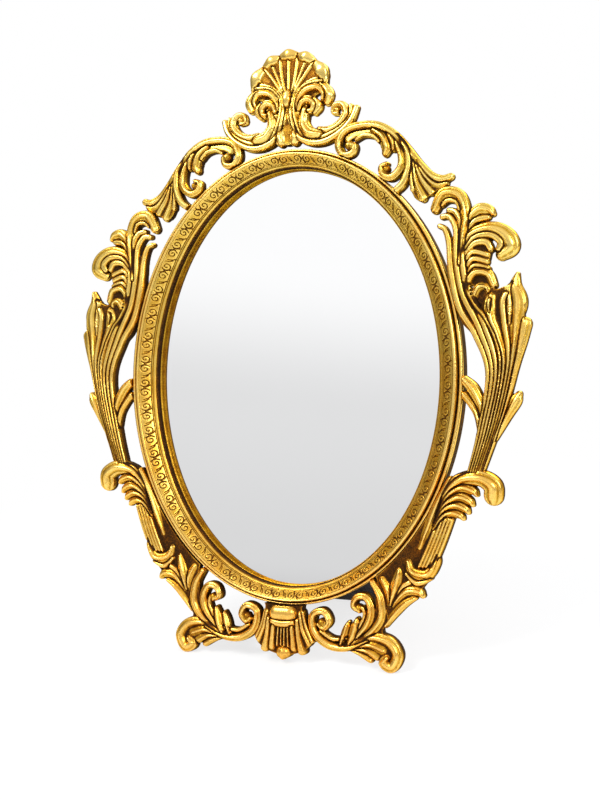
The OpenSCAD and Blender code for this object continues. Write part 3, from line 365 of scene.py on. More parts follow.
def add_strand(bm, style, points):
    """One strand of scrollwork, rounded off at both ends."""
    line = smooth_line(points)
    along = np.gradient(line[:, :2], axis=0)
    along /= np.linalg.norm(along, axis=1)[:, None]

    def tip(at, sign, turns):
        """Stations of a rounded end, as [middle, direction, half width, height]."""
        return [(line[at, :2] + sign * along[at] * line[at, 2] * math.sin(a), along[at],
                 line[at, 2] * math.cos(a), line[at, 3] * (TIP_KEEPS + TIP_LOSES * math.cos(a)))
                for a in turns]

    body = [(line[i, :2], along[i], line[i, 2], line[i, 3]) for i in range(len(line))]
    stations = tip(0, -1, reversed(TIP)) + body + tip(-1, 1, TIP)
    section = SECTIONS[style]
    n, m = len(stations) - 1, len(section) - 1
    made = bmesh.ops.create_grid(bm, x_segments=n, y_segments=m, size=1)["verts"]
    for vert in made:
        middle, direction, w, h = stations[round((vert.co.x + 1) / 2 * n)]
        x, z = section[round((vert.co.y + 1) / 2 * m)]
        vert.co = (middle[0] - direction[1] * x * w, middle[1] + direction[0] * x * w, CAST_BACK + z * h)
    bmesh.ops.remove_doubles(bm, verts=made, dist=WELD)


def add_eye(bm, eye):
    """The rounded boss in the eye of a volute."""
    u, v, w, h = eye
    made = bmesh.ops.create_uvsphere(bm, u_segments=20, v_segments=12, radius=1)["verts"]
    for vert in made:
        x, y, z = vert.co
        level = h * (EYE_WAIST + EYE_DOME * z) if z > 0 else h * EYE_WAIST * (1 + z)
        vert.co = (u + x * w, v + y * w, CAST_BACK + level)


def add_plate(bm, corners, level, height):
    """A flat plate of any outline, from its level up. Returns its lower face."""
    face = bm.faces.new([bm.verts.new((x, v, level)) for x, v in corners])
    grown = bmesh.ops.extrude_face_region(bm, geom=[face])
    top = [g for g in grown["geom"] if isinstance(g, bmesh.types.BMVert)]
    bmesh.ops.translate(bm, verts=top, vec=(0, 0, height))
    return face


def add_ground(bm, outline, height):
    """The sunk ground plate between the strands."""
    line = smooth_line([[x, v, 0, 0] for x, v in outline])
    add_plate(bm, line[::GROUND_STEP, :2], CAST_BACK, height)


def add_peg(bm, x, v, z, radius, depth, segments):
    """A round cutter that stands square to the glass."""
    bmesh.ops.create_cone(bm, segments=segments, cap_ends=True, radius1=radius, radius2=radius, depth=depth,
                          matrix=Matrix.Translation((x, v, z)))


def add_piercing(bm, piercing):
    """A slot-shaped cutter that goes through the casting."""
    u0, v0, u1, v1, r = piercing
    for t in (0, .5, 1):
        add_peg(bm, u0 + (u1 - u0) * t, v0 + (v1 - v0) * t, PIERCING_Z, r, PIERCING_LENGTH, 16)


def mesh_from(bm, name):
    """Turns a bmesh into an object in the scene."""
    mesh = bpy.data.meshes.new(name)
    bm.to_mesh(mesh)
    bm.free()
    piece = bpy.data.objects.new(name, mesh)
    bpy.context.scene.collection.objects.link(piece)
    return piece


def face_outwards(mesh, weld=0.0):
    """Merges points that lie closer together than weld, and turns every face outwards."""
    bm = bmesh.new()
    bm.from_mesh(mesh)
    if weld:
        bmesh.ops.remove_doubles(bm, verts=bm.verts, dist=weld)
    bmesh.ops.recalc_face_normals(bm, faces=bm.faces)
    bm.to_mesh(mesh)
    bm.free()


def apply_modifiers(piece):
    """Bakes the piece's modifiers into its mesh."""
    graph = bpy.context.evaluated_depsgraph_get()
    mesh = bpy.data.meshes.new_from_object(piece.evaluated_get(graph))
    old = piece.data
    piece.modifiers.clear()
    piece.data = mesh
    bpy.data.meshes.remove(old)
    mesh.name = piece.name


def bore(piece, cut, solver="EXACT"):
    """Takes the cutters in a bmesh away from the piece, after the modifiers that it already has."""
    cutter = mesh_from(cut, piece.name + "_cutter")
    holes = piece.modifiers.new("holes", "BOOLEAN")
    holes.operation = "DIFFERENCE"
    holes.object = cutter
    holes.solver = solver
    apply_modifiers(piece)
    bpy.data.objects.remove(cutter)


def coords(mesh, kind="co"):
    """The mesh's points, or its "normal" at each point, as an array."""
    values = np.empty(len(mesh.vertices) * 3)
    mesh.vertices.foreach_get(kind, values)
    return values.reshape(-1, 3)


def set_coords(mesh, co):
    """Puts the points back."""
    mesh.vertices.foreach_set("co", co.ravel())
    mesh.update()


def ease_in(values, start, span):
    """0 up to start, 1 from start + span on, and straight between them."""
    return np.clip((values - start) / span, 0, 1)


class Spread:
    """Averages over each point's neighbours."""

    def __init__(self, mesh):
        edges = np.empty(len(mesh.edges) * 2, int)
        mesh.edges.foreach_get("vertices", edges)
        self.a, self.b = edges.reshape(-1, 2).T
        self.size = len(mesh.vertices)
        self.links = np.maximum(np.bincount(self.a, minlength=self.size)
                                + np.bincount(self.b, minlength=self.size), 1)

    def once(self, values):
        """The average of each point's neighbours."""
        out = np.empty_like(values)
        for k in range(values.shape[1]):
            out[:, k] = (np.bincount(self.a, values[self.b, k], self.size)
                         + np.bincount(self.b, values[self.a, k], self.size)) / self.links
        return out

    def times(self, values, count, share=.5):
        """Moves each point towards its neighbours' average, count times."""
        for _ in range(count):
            values = values + (self.once(values) - values) * share
        return values


# How far from its middle line a strand still counts, in half widths, and what a point under no strand gets
STRAND_REACH, NO_STRAND = 1.06, 1.5
# A strand's section loses this share of its height from crown to edge, and is this steep there
SECTION_DROP, SECTION_SLOPE = .38, 1.14
# Strength of a crease where two strands are level, cut off at 1, and the millimetres in which it falls by 1
CREASE_START, CREASE_FALL = 1.25, .42


def strand_lie(co, strands):
    """For each point, how far out it lies on the highest strand over it, in half widths, and how close it is
    to the line where the next strand comes up, from 0 to 1."""
    best, second, best_fall, second_fall = (np.zeros(len(co)) for _ in range(4))
    share = np.full(len(co), NO_STRAND)
    for _, *points in strands:
        line = smooth_line(points)
        low = line[:, :2].min(0) - line[:, 2].max()
        high = line[:, :2].max(0) + line[:, 2].max()
        near = np.nonzero(((co[:, :2] > low) & (co[:, :2] < high)).all(1))[0]
        if not len(near):
            continue
        ratio = np.hypot(co[near, 0, None] - line[:, 0], co[near, 1, None] - line[:, 1]) / line[:, 2]
        pick = ratio.argmin(1)
        ratio = ratio[np.arange(len(near)), pick]
        inside = ratio < STRAND_REACH
        near, pick, ratio = near[inside], pick[inside], ratio[inside]
        level = line[pick, 3] * (1 - SECTION_DROP * ratio ** 3)
        fall = line[pick, 3] / line[pick, 2] * SECTION_SLOPE * ratio ** 2
        wins = level > best[near]
        loses = ~wins & (level > second[near])
        top, under = near[wins], near[loses]
        second[top], second_fall[top] = best[top], best_fall[top]
        best[top], best_fall[top], share[top] = level[wins], fall[wins], ratio[wins]
        second[under], second_fall[under] = level[loses], fall[loses]
    away = (best - second) / (best_fall + second_fall + .3)
    crease = np.clip(CREASE_START - away / CREASE_FALL, 0, 1) * (second > 0)
    return share, crease


# Wear: rounds of averaging that find fine, middling and broad unevenness, and how much each counts
FINE_ROUNDS, MIDDLE_ROUNDS, BROAD_ROUNDS = 4, 16, 70
FINE_COUNTS, MIDDLE_COUNTS, BROAD_COUNTS = 4.0, 2.6, .62
# Beyond this many half widths a point lies on the ground between the strands
GROUND_FROM = 1.3


def write_wear_and_painted_light(mesh, spread, lift=0.0, lie=None):
    """Stores how rubbed each point is: 0 in deep recesses, 1 on the heights; given lie, also a painted
    highlight on the strands' crowns and painted shade on their edges and walls. The mesh is in millimetres.
    """
    co, normal = coords(mesh), coords(mesh, "normal")
    near = spread.times(co, MIDDLE_ROUNDS)
    fine = ((co - spread.times(co, FINE_ROUNDS)) * normal).sum(1)
    middle = ((co - near) * normal).sum(1)
    broad = ((co - spread.times(near, BROAD_ROUNDS)) * normal).sum(1)
    value = FINE_COUNTS * fine + MIDDLE_COUNTS * middle + BROAD_COUNTS * broad + lift
    if lie is not None:
        # Painted highlight on the crowns, dark lines between the strands, painted shade along each strand's
        # edge, a brown ground, painted shade on the walls that deepens towards the back, and a plain aged
        # back
        share, crease = lie
        # Painted highlight: the crown of each strand is made brighter
        crown = np.clip(1 - share / .7, 0, 1)
        # Painted shade: a dark line along each strand's edge
        edge = ease_in(share, .92, .08) * (share < GROUND_FROM)
        # Painted shade on the walls, darker near the back
        wall = np.clip(1 - normal[:, 2] / .36, 0, 1)
        low = ease_in(CAST_BACK + 5.5 - co[:, 2], 0, 4.5)
        back = ease_in(-normal[:, 2], .3, .4)
        value = .30 + .55 * value + .5 * crown
        value -= 2.1 * crease + .45 * edge + 1.15 * (share > GROUND_FROM)
        value -= wall * (.35 + 1.3 * low)
        value = value * (1 - back) - .14 * back
    wear_and_painted_light = .5 + .5 * np.tanh(value)
    layer = mesh.attributes.new("wear_and_painted_light", "FLOAT", "POINT")
    layer.data.foreach_set("value", spread.times(wear_and_painted_light[:, None], 1)[:, 0].astype(np.float32))


def darken(mesh, amount):
    """Lowers the stored value of wear and painted light by a share of itself."""
    layer = mesh.attributes["wear_and_painted_light"]
    wear_and_painted_light = np.empty(len(mesh.vertices), np.float32)
    layer.data.foreach_get("value", wear_and_painted_light)
    layer.data.foreach_set("value", (wear_and_painted_light * (1 - amount)).astype(np.float32))


def clear_of_rim(co, gap=.05):
    """Moves what lies inside the rim's outer wall to just outside it."""
    reach = np.hypot(co[:, 0] / (RIM_A + gap), co[:, 1] / (RIM_B + gap))
    inside = reach < 1
    co[inside, :2] /= reach[inside, None]
    return co


def finish_piece(piece, material, body, nodes=(), place=STAND):
    piece.data.transform(place)
    piece.data.polygons.foreach_set("use_smooth", [True] * len(piece.data.polygons))
    piece.data.materials.clear()
    piece.data.materials.append(material)
    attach(piece, body)
    if nodes:
        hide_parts(*nodes)


# Depth of the chased lines where two strands meet and along a strand's edge
CREASE_DEPTH, EDGE_DEPTH = .8, .3


def cast(name, strands, eyes=(), grounds=(), middle=(), both=False, piercings=(), lift=0.0):
    """A casting in the mirror's own frame: strands, eyes and grounds melted into one closed skin."""
    bm = bmesh.new()
    for style, *points in strands:
        add_strand(bm, style, points)
    for eye in eyes:
        add_eye(bm, eye)
    for outline, height in grounds:
        add_ground(bm, outline, height)
    if both:
        bmesh.ops.mirror(bm, geom=bm.verts[:] + bm.edges[:] + bm.faces[:], axis="X", merge_dist=-1)
    for style, *points in middle:
        add_strand(bm, style, points)
    bmesh.ops.holes_fill(bm, edges=[e for e in bm.edges if e.is_boundary], sides=0)
    bmesh.ops.recalc_face_normals(bm, faces=bm.faces)
    piece = mesh_from(bm, name)
    skin = piece.modifiers.new("skin", "REMESH")
    skin.mode = "VOXEL"
    skin.voxel_size = bpy.context.scene.mirror_sizes.casting_grain
    if piercings:
        cut = bmesh.new()
        for piercing in piercings:
            add_piercing(cut, piercing)
        bore(piece, cut, "FAST")
    else:
        apply_modifiers(piece)
    mesh = piece.data
    spread = Spread(mesh)
    co = spread.times(coords(mesh), 1)
    co[:, 2] = np.maximum(co[:, 2], CAST_BACK)
    set_coords(mesh, co)
    # Chased lines: cut deeper where two strands meet, and a little along each strand's edge
    folded = np.column_stack([np.abs(co[:, 0]), co[:, 1:]]) if both else co
    lie = spread.times(np.stack(strand_lie(folded, [*strands, *middle]), 1), 1, .3)
    share, crease = lie.T
    front = np.clip(coords(mesh, "normal")[:, 2] / .4, 0, 1) * (co[:, 2] > CAST_BACK + 2)
    edge = ease_in(share, .8, .2) * (share < 1.2)
    co[:, 2] -= front * (CREASE_DEPTH * crease + EDGE_DEPTH * edge ** 2)
    co[:, 2] = np.maximum(co[:, 2], CAST_BACK)
    set_coords(mesh, clear_of_rim(co))
    write_wear_and_painted_light(mesh, spread, lift, (share, crease))
    return piece


def other_side(piece, name):
    """The same casting for the left side."""
    twin = bpy.data.objects.new(name, piece.data.copy())
    twin.data.name = name
    bpy.context.scene.collection.objects.link(twin)
    twin.data.transform(Matrix.Scale(-1, 4, (1, 0, 0)))
    twin.data.flip_normals()
    return twin


# Materials


class Nodes:
    """Adds and joins the nodes of one tree."""

    def __init__(self, tree):
        self.tree = tree
        tree.nodes.clear()

    def add(self, kind, **settings):
        node = self.tree.nodes.new(kind)
        for key, value in settings.items():
            setattr(node, key, value)
        return node

    def link(self, source, target):
        self.tree.links.new(source, target)

    def put(self, target, value):
        """Gives an input a value, or links it to another node's output."""
        if isinstance(value, bpy.types.NodeSocket):
            self.link(value, target)
        else:
            target.default_value = value

    def math(self, operation, a, b=0.0, c=0.0):
        node = self.add("ShaderNodeMath", operation=operation)
        for socket, value in zip(node.inputs, (a, b, c)):
            self.put(socket, value)
        return node.outputs[0]

    def mix(self, factor, a, b, blend="MIX"):
        node = self.add("ShaderNodeMix", data_type="RGBA", blend_type=blend)
        self.put(node.inputs["Factor"], factor)
        self.put(node.inputs["A"], a)
        self.put(node.inputs["B"], b)
        return node.outputs["Result"]

    def ramp(self, factor, *stops, curve="LINEAR"):
        node = self.add("ShaderNodeValToRGB")
        node.color_ramp.interpolation = curve
        while len(node.color_ramp.elements) < len(stops):
            node.color_ramp.elements.new(.5)
        for element, (at, colour) in zip(node.color_ramp.elements, stops):
            element.position = at
            element.color = (*colour, 1) if hasattr(colour, "__len__") else (colour, colour, colour, 1)
        self.put(node.inputs["Fac"], factor)
        return node.outputs["Color"]

    def cross(self, factor, first, second):
        """Goes from the first shader to the second."""
        node = self.add("ShaderNodeMixShader")
        for socket, value in zip(node.inputs, (factor, first, second)):
            self.link(value, socket)
        return node.outputs[0]

    def seen(self):
        """1 for what the camera sees, straight or through something clear."""
        path = self.add("ShaderNodeLightPath")
        return self.math("MAXIMUM", path.outputs["Is Camera Ray"], path.outputs["Is Transmission Ray"])


class Shader(Nodes):
    """The nodes of one material, round one principled shader."""

    def __init__(self, name):
        self.material = bpy.data.materials.new(name)
        self.material.use_nodes = True
        super().__init__(self.material.node_tree)
        self.out = self.add("ShaderNodeOutputMaterial")
        self.shader = self.add("ShaderNodeBsdfPrincipled")
        self.link(self.shader.outputs[0], self.out.inputs["Surface"])
        self.place = self.add("ShaderNodeTexCoord").outputs["Object"]

    def noise(self, scale, detail=3.0, rough=.55, vector=None):
        node = self.add("ShaderNodeTexNoise")
        self.put(node.inputs["Vector"], vector or self.place)
        self.put(node.inputs["Scale"], scale)
        self.put(node.inputs["Detail"], detail)
        self.put(node.inputs["Roughness"], rough)
        return node.outputs["Fac"]

    def attribute(self, name):
        return self.add("ShaderNodeAttribute", attribute_name=name).outputs["Fac"]

    def stretch(self, factors):
        node = self.add("ShaderNodeMapping")
        self.put(node.inputs["Vector"], self.place)
        node.inputs["Scale"].default_value = factors
        return node.outputs["Vector"]

    def bump(self, height, strength, distance):
        node = self.add("ShaderNodeBump")
        self.put(node.inputs["Height"], height)
        node.inputs["Strength"].default_value = strength
        node.inputs["Distance"].default_value = distance
        self.link(node.outputs["Normal"], self.shader.inputs["Normal"])

    def set(self, **values):
        for key, value in values.items():
            self.put(self.shader.inputs[key.replace("_", " ")], value)
        return self.material


def rgba(colour):
    return (*colour, 1)


def antique_gold(name, lift=0.0):
    """Gilt brass with dark wax in its recesses. The stored attribute says where it is rubbed, and also
    carries painted highlights on the crowns and painted shade on walls and edges.
    """
    c = bpy.context.scene.mirror_colours
    s = Shader(name)
    blotch = s.noise(120, 4)
    speck = s.noise(1250, 4, .75)
    height = s.add("ShaderNodeSeparateXYZ")
    s.link(s.place, height.inputs[0])
    wear_and_painted_light = s.attribute("wear_and_painted_light")
    wear_and_painted_light = s.math("ADD", wear_and_painted_light, s.math("MULTIPLY", s.math("SUBTRACT", blotch, .5), .35))
    grain = s.math("MULTIPLY_ADD", wear_and_painted_light, -.65, .9 + lift)
    wear_and_painted_light = s.math("ADD", wear_and_painted_light, s.math("MULTIPLY", s.math("SUBTRACT", speck, .5), grain))
    # The top stop is rubbed gold, and also the painted highlight on the castings' crowns
    colour = s.ramp(wear_and_painted_light, (.12, c.patina), (.34, c.bronze), (.58, c.gold), (.97, c.rubbed_gold_and_highlight))
    # The lower half is a little redder than the upper
    low = s.ramp(s.math("MULTIPLY", height.outputs["Z"], 2.6), (0, (1, .82, .72)), (.75, (1, 1, 1)))
    colour = s.mix(.8, colour, low, "MULTIPLY")
    colour = s.mix(s.ramp(s.noise(55, 2), (.44, 0.0), (.66, .6)), colour, (1, .80, .50, 1), "MULTIPLY")
    s.shader.inputs["Specular Tint"].default_value = (.95, .74, .34, 1)
    rough = s.ramp(wear_and_painted_light, (.1, .75), (.45, .42), (.9, .24))
    metal = s.ramp(wear_and_painted_light, (.10, .6), (.34, 1.0))
    s.bump(s.math("ADD", speck, s.math("MULTIPLY", s.noise(420, 3), 2)), .35, .00012)
    return s.set(Base_Color=colour, Metallic=metal, Roughness=rough)


def mirror_glass():
    """Silvered glass, with a faint unevenness in its polish."""
    c = bpy.context.scene.mirror_colours
    s = Shader("silvered_glass")
    smear = s.noise(30, 3)
    colour = s.mix(smear, rgba([v * .985 for v in c.silver]), rgba(c.silver))
    rough = s.ramp(smear, (.3, .012), (.8, .03))
    return s.set(Base_Color=colour, Metallic=1.0, Roughness=rough)


def velvet(name):
    """Short black velvet with brushed patches."""
    c = bpy.context.scene.mirror_colours
    s = Shader(name)
    pile = s.noise(5200, 2, .7)
    brushed = s.ramp(s.noise(34, 4, .6), (.38, 0.0), (.66, 1.0))
    colour = s.mix(brushed, rgba(c.velvet), rgba([v * 3.4 for v in c.velvet]))
    colour = s.mix(s.math("MULTIPLY", pile, .6), colour, rgba([v * .35 for v in c.velvet]))
    s.bump(s.math("ADD", pile, s.math("MULTIPLY", brushed, .5)), .7, .0004)
    s.shader.inputs["Sheen Weight"].default_value = .22
    s.shader.inputs["Sheen Roughness"].default_value = .42
    s.shader.inputs["Sheen Tint"].default_value = (.5, .47, .48, 1)
    return s.set(Base_Color=colour, Roughness=.92)


def plain_brass(name, colour, rough):
    """Brass sheet or wire: drawn lines, tarnish and dull spots."""
    s = Shader(name)
    lines = s.noise(900, 2, .6, s.stretch((.04, 1, 1)))
    spots = s.noise(260, 5, .6)
    dark = [v * .42 for v in colour]
    base = s.mix(s.ramp(spots, (.42, 0.0), (.72, 1.0)), rgba(colour), rgba(dark))
    base = s.mix(s.math("MULTIPLY", lines, .35), base, rgba([min(1, v * 1.25) for v in colour]))
    s.bump(s.math("ADD", lines, s.math("MULTIPLY", spots, .6)), .22, .00006)
    return s.set(Base_Color=base, Metallic=1.0, Roughness=s.ramp(spots, (.35, rough), (.75, rough + .28)))


def wood():
    """Thin plywood: grain lines along the height."""
    s = Shader("back_plywood")
    grain = s.noise(240, 5, .6, s.stretch((1, 1, .05)))
    pores = s.noise(1500, 2, .6, s.stretch((1, 1, .08)))
    base = s.ramp(grain, (.3, (.20, .11, .05)), (.55, (.36, .22, .11)), (.8, (.48, .31, .17)))
    base = s.mix(s.ramp(pores, (.58, 0.0), (.7, .6)), base, rgba((.12, .06, .03)))
    s.bump(s.math("ADD", grain, pores), .3, .0001)
    return s.set(Base_Color=base, Roughness=.68)


def card():
    """Grey-brown pulp card with fibres."""
    s = Shader("pulp_card")
    fibre = s.noise(1100, 5, .7, s.stretch((1, .3, .35)))
    cloud = s.noise(90, 4)
    base = s.ramp(s.math("ADD", s.math("MULTIPLY", fibre, .6), s.math("MULTIPLY", cloud, .4)),
                  (.3, (.28, .21, .13)), (.5, (.44, .35, .23)), (.72, (.58, .48, .34)))
    s.bump(fibre, .3, .0001)
    return s.set(Base_Color=base, Roughness=.9)


def rubber():
    """Black rubber, slightly dusty."""
    s = Shader("black_rubber")
    dust = s.noise(160, 5, .6)
    grain = s.noise(2400, 2)
    base = s.ramp(dust, (.35, (.018, .017, .017)), (.75, (.06, .056, .053)))
    s.bump(grain, .3, .00012)
    return s.set(Base_Color=base, Roughness=s.ramp(dust, (.3, .55), (.8, .85)))


def steel():
    """Drawn steel wire."""
    s = Shader("drawn_steel")
    lines = s.noise(700, 2, .6, s.stretch((.05, 1, 1)))
    base = s.ramp(lines, (.3, (.42, .42, .41)), (.7, (.68, .68, .66)))
    s.bump(lines, .2, .00005)
    return s.set(Base_Color=base, Metallic=1.0, Roughness=s.ramp(lines, (.3, .28), (.7, .42)))


# Operators: one for each piece or group of like pieces, and one for the stage

# The moulding from its outer edge (share 0) to the glass opening (share 1), with its heights
MOULDING = [[0, RIM_BACK], [0, -4], [0, .6], [.012, 1.5], [.035, 2.02], [.07, 2.2], [.105, 2.12],
            [.135, 1.6], [.155, .75], [.17, .6], [.185, 1.5], [.2, 3.0], [.225, 3.86], [.255, 4.15],
            [.28, 4.2], [.31, 4.12], [.335, 3.86], [.35, 3.5], [.36, 3.0], [.5, 1.2], [.72, -1.7],
            [.735, -1.75], [.745, -1.5], [.762, -1.42], [.776, -1.7], [.786, -2.15], [.80, -2.1],
            [.84, -2.45], [.885, -3.0], [.9, -3.3], [.908, -4.4], [.92, -6.2], [.935, -7.0], [.955, -7.05],
            [.975, -7.1], [.992, -7.35], [1, -7.9], [1, GLASS_Z]]
# How much dark wax lies across the moulding: [share of the width, amount]
GRIME = [[0, 0], [.12, 0], [.15, .6], [.175, .6], [.195, .15], [.22, 0], [.33, 0], [.35, .65], [.37, .3],
         [.4, 0], [.7, 0], [.728, .7], [.742, .6], [.752, .05], [.772, .1], [.788, .75], [.802, .35],
         [.83, .1], [.88, .2], [.902, .8], [.925, .65], [.95, .45], [.98, .3], [1, .6]]
# Painted shade with some grime on the outer wall, and grime on the back, along the engraved lines and along
# the band's edges
WALL_SHADE_AND_GRIME, BACK_GRIME = .85, .45
ENGRAVED_GRIME, EDGE_GRIME = .93, .6
# The engraved band: its edges as shares of the moulding's width, their levels, how far it swells between
# them, how deep its edges go down into the moulding, its half width, and its rows
BAND_FROM, BAND_TO = .352, .73
BAND_TOP = [3.72, -1.18]
BAND_SWELL = .42
BAND_SINK = [.9, .7]
BAND_HALF = 3.1
BAND_ROWS = 22
# Strength of an engraved line on its middle, cut off at 1, and the millimetres in which it falls by 1
GROOVE_START, GROOVE_FALL = 1.4, .26
# In millimetres: pitch and depth of the hatching, pitch and height of the pearls, depth of the bead's beating
HATCH_PITCH, HATCH_DEPTH = 1.9, .16
PEARL_PITCH, PEARL_HEIGHT = 2.5, .5
BEAT_DEPTH = .05
# Steps round the oval: of the first turn, and of the finished pieces
SPIN_STEPS = 130
BAND_STEPS = 2340
RIM_STEPS = 1300
VELVET_STEPS = 260
# Points that measure the way round the oval, along one engraved scroll, and along its stem and each leaf
ARC_POINTS = 4001
SCROLL_POINTS, STEM_POINTS = 80, 26
# Long steps of the moulding get rows about this far apart, in millimetres
ROW_LENGTH = .992
# While a section is turned, its rows stand this far apart, so that each point can be told its row
ROW_MARK = .01


def ring_axes(share):
    """Half axes of the oval at a share of the moulding's width."""
    return RIM_A - share * SIDE_W, RIM_B - share * END_W


def oval_sweep(name, rows, steps):
    """Sweeps a closed section round the oval. rows are [half width, half height, level]. Returns the piece,
    and the turn and the row of each point."""
    bm = bmesh.new()
    verts = [bm.verts.new((1 + ROW_MARK * j, 0, 0)) for j in range(len(rows))]
    edges = [bm.edges.new((verts[j], verts[(j + 1) % len(rows)])) for j in range(len(rows))]
    bmesh.ops.spin(bm, geom=verts + edges, cent=(0, 0, 0), axis=(0, 0, 1), angle=2 * math.pi,
                   steps=SPIN_STEPS, use_merge=True)
    around = [e for e in bm.edges if abs(e.verts[0].co.length - e.verts[1].co.length) < .4 * ROW_MARK]
    bmesh.ops.subdivide_edges(bm, edges=around, cuts=round(steps / SPIN_STEPS) - 1, use_grid_fill=True)
    piece = mesh_from(bm, name)
    co = coords(piece.data)
    turn = np.arctan2(co[:, 1], co[:, 0])
    row = np.round((np.hypot(co[:, 0], co[:, 1]) - 1) / ROW_MARK).astype(int)
    a, b, level = np.array(rows, float)[row].T
    set_coords(piece.data, np.stack([a * np.cos(turn), b * np.sin(turn), level], 1))
    face_outwards(piece.data)
    return piece, turn, row


def way_round(turn, a, b):
    """How far round the oval each turn is, and the whole way round, in millimetres."""
    t = np.linspace(-math.pi, math.pi, ARC_POINTS)
    step = np.hypot(np.diff(a * np.cos(t)), np.diff(b * np.sin(t)))
    length = np.concatenate([[0], np.cumsum(step)])
    return np.interp(turn, t, length / length[-1]) * length[-1], length[-1]


def waves(distance, pitch):
    """Waves from -1 to 1, with their crests one pitch apart."""
    return np.cos(distance / pitch * 2 * math.pi)


def engraved_line():
    """Points along one unit of the engraved vine: x along the band from 0 to 1, y across it from -1 to 1."""
    t = np.linspace(0, 1, SCROLL_POINTS)
    angle = math.pi * (.25 - 2.55 * t)
    radius = .07 + .43 * t ** .8
    first = np.stack([.21 + .34 * radius * np.cos(angle), 1.75 * radius * np.sin(angle)], 1)
    # The second scroll is the first one turned half round, and the stem joins the two
    second = [.84, 0] - first
    t = np.linspace(0, 1, STEM_POINTS)[:, None]
    stem = first[-1] + (second[-1] - first[-1]) * t
    bend = np.sin(math.pi * t)
    leaves = [np.hstack([x + reach * t, top - fall * t + swell * bend])
              for x, reach, top, fall, swell in ((.80, .13, .85, 1.15, .28), (.90, .12, .55, 1.15, .22),
                                                 (.43, .09, -.15, .7, .16), (.30, .09, .85, .7, .16))]
    return np.concatenate([first, second, stem, *leaves])


def engraving(along, across, unit):
    """Depth of the engraving, from 0 to 1, at each point of the band."""
    line = engraved_line() * [unit, BAND_HALF]
    here = np.stack([np.mod(along, unit), across * BAND_HALF], 1)
    nearest = np.full(len(here), np.inf)
    for shift in (-unit, 0, unit):
        for p in line:
            nearest = np.minimum(nearest, np.hypot(here[:, 0] - p[0] - shift, here[:, 1] - p[1]))
    return np.clip(GROOVE_START - nearest / GROOVE_FALL, 0, 1)


class MIRROR_OT_rim(bpy.types.Operator):
    """Moulded rim with its bead, crown, engraved band and hatched lip"""
    bl_idname = "mirror.rim"
    bl_label = "Rim"

    def execute(self, context):
        self.moulding()
        self.band(context.scene.mirror_sizes)
        return {"FINISHED"}

    def moulding(self):
        """The rim from its outer edge over bead and crown to the glass, and round its back."""
        rows = []
        for (s0, z0), (s1, z1) in zip(MOULDING, MOULDING[1:]):
            count = max(1, round(math.hypot((s1 - s0) * SIDE_W, z1 - z0) / ROW_LENGTH))
            for k in range(count):
                rows.append([*ring_axes(s0 + (s1 - s0) * k / count), z0 + (z1 - z0) * k / count])
        rows.append([*ring_axes(1), GLASS_Z])
        front = len(rows)
        # The rebate's wall, the rear wall with its edges broken, and the step out to the moulding's back
        rows += [[REBATE_A + d, REBATE_B + d, z]
                 for d, z in ((0, GLASS_Z), (0, REAR_Z + .2), (.2, REAR_Z))]
        rows += [[REAR_A + d, REAR_B + d, z]
                 for d, z in ((-.5, REAR_Z), (-.12, REAR_Z + .15), (0, REAR_Z + .6), (0, RIM_BACK - .6),
                              (.2, RIM_BACK))]
        piece, turn, row = oval_sweep("rim_moulding", rows, RIM_STEPS)
        distance, _ = way_round(turn, *ring_axes(.95))
        table = np.array(rows)[row]
        width_share = (RIM_A - table[:, 0]) / SIDE_W
        co = coords(piece.data)

        def between(low, high):
            """The points of the front between two shares of the moulding's width."""
            return (width_share > low) & (width_share < high) & (row < front)

        # Hatching across the cove and the lip, cut in along the way round
        hatched = between(.9, .985) & (table[:, 2] > GLASS_Z + 1)
        co[:, 2] -= hatched * (.5 + .5 * waves(distance, HATCH_PITCH)) * HATCH_DEPTH
        # The bead is lightly beaten
        bead = between(0, .15) & (table[:, 2] > .5)
        co[:, 2] += bead * (np.sin(distance * 2.1) * np.sin(distance * .73 + 1)) * BEAT_DEPTH
        # Small pearls stand in the groove beside the bead
        co[:, 2] += between(.148, .182) * PEARL_HEIGHT * np.clip(waves(distance, PEARL_PITCH), 0, 1)
        set_coords(piece.data, co)
        write_wear_and_painted_light(piece.data, Spread(piece.data), .1)
        dark = np.interp(width_share, *np.array(GRIME).T)
        # Painted shade with some grime: the outer wall is darkened
        dark[(width_share < .005) & (co[:, 2] < .4)] = WALL_SHADE_AND_GRIME
        dark[row >= front] = BACK_GRIME
        darken(piece.data, dark)
        finish_piece(piece, antique_gold("gilt_rim"), "frame", ["oval_rim"])

    def band(self, sizes):
        """The engraved band, which lies on the moulding as its own dense strip."""
        rows = []
        for k in range(BAND_ROWS + 1):
            t = k / BAND_ROWS
            level = BAND_TOP[0] + (BAND_TOP[1] - BAND_TOP[0]) * t + BAND_SWELL * math.sin(math.pi * t)
            rows.append([*ring_axes(BAND_FROM + (BAND_TO - BAND_FROM) * t), level])
        rows += [[*ring_axes(BAND_TO), BAND_TOP[1] - BAND_SINK[1]],
                 [*ring_axes(BAND_FROM), BAND_TOP[0] - BAND_SINK[0]]]
        piece, turn, row = oval_sweep("rim_band", rows, BAND_STEPS)
        distance, length = way_round(turn, *ring_axes((BAND_FROM + BAND_TO) / 2))
        across = row / BAND_ROWS * 2 - 1
        top = row <= BAND_ROWS
        depth = np.zeros(len(turn))
        depth[top] = engraving(distance[top], across[top], length / sizes.engraving_units)
        co = coords(piece.data)
        co[:, 2] -= depth * sizes.engraving_depth
        set_coords(piece.data, co)
        write_wear_and_painted_light(piece.data, Spread(piece.data), .16)
        darken(piece.data, np.maximum(ENGRAVED_GRIME * depth, EDGE_GRIME * ease_in(np.abs(across), .9, .1)))
        # The moulding stands for the rim's node, so the band replaces none
        finish_piece(piece, antique_gold("gilt_band", -.12), "frame")


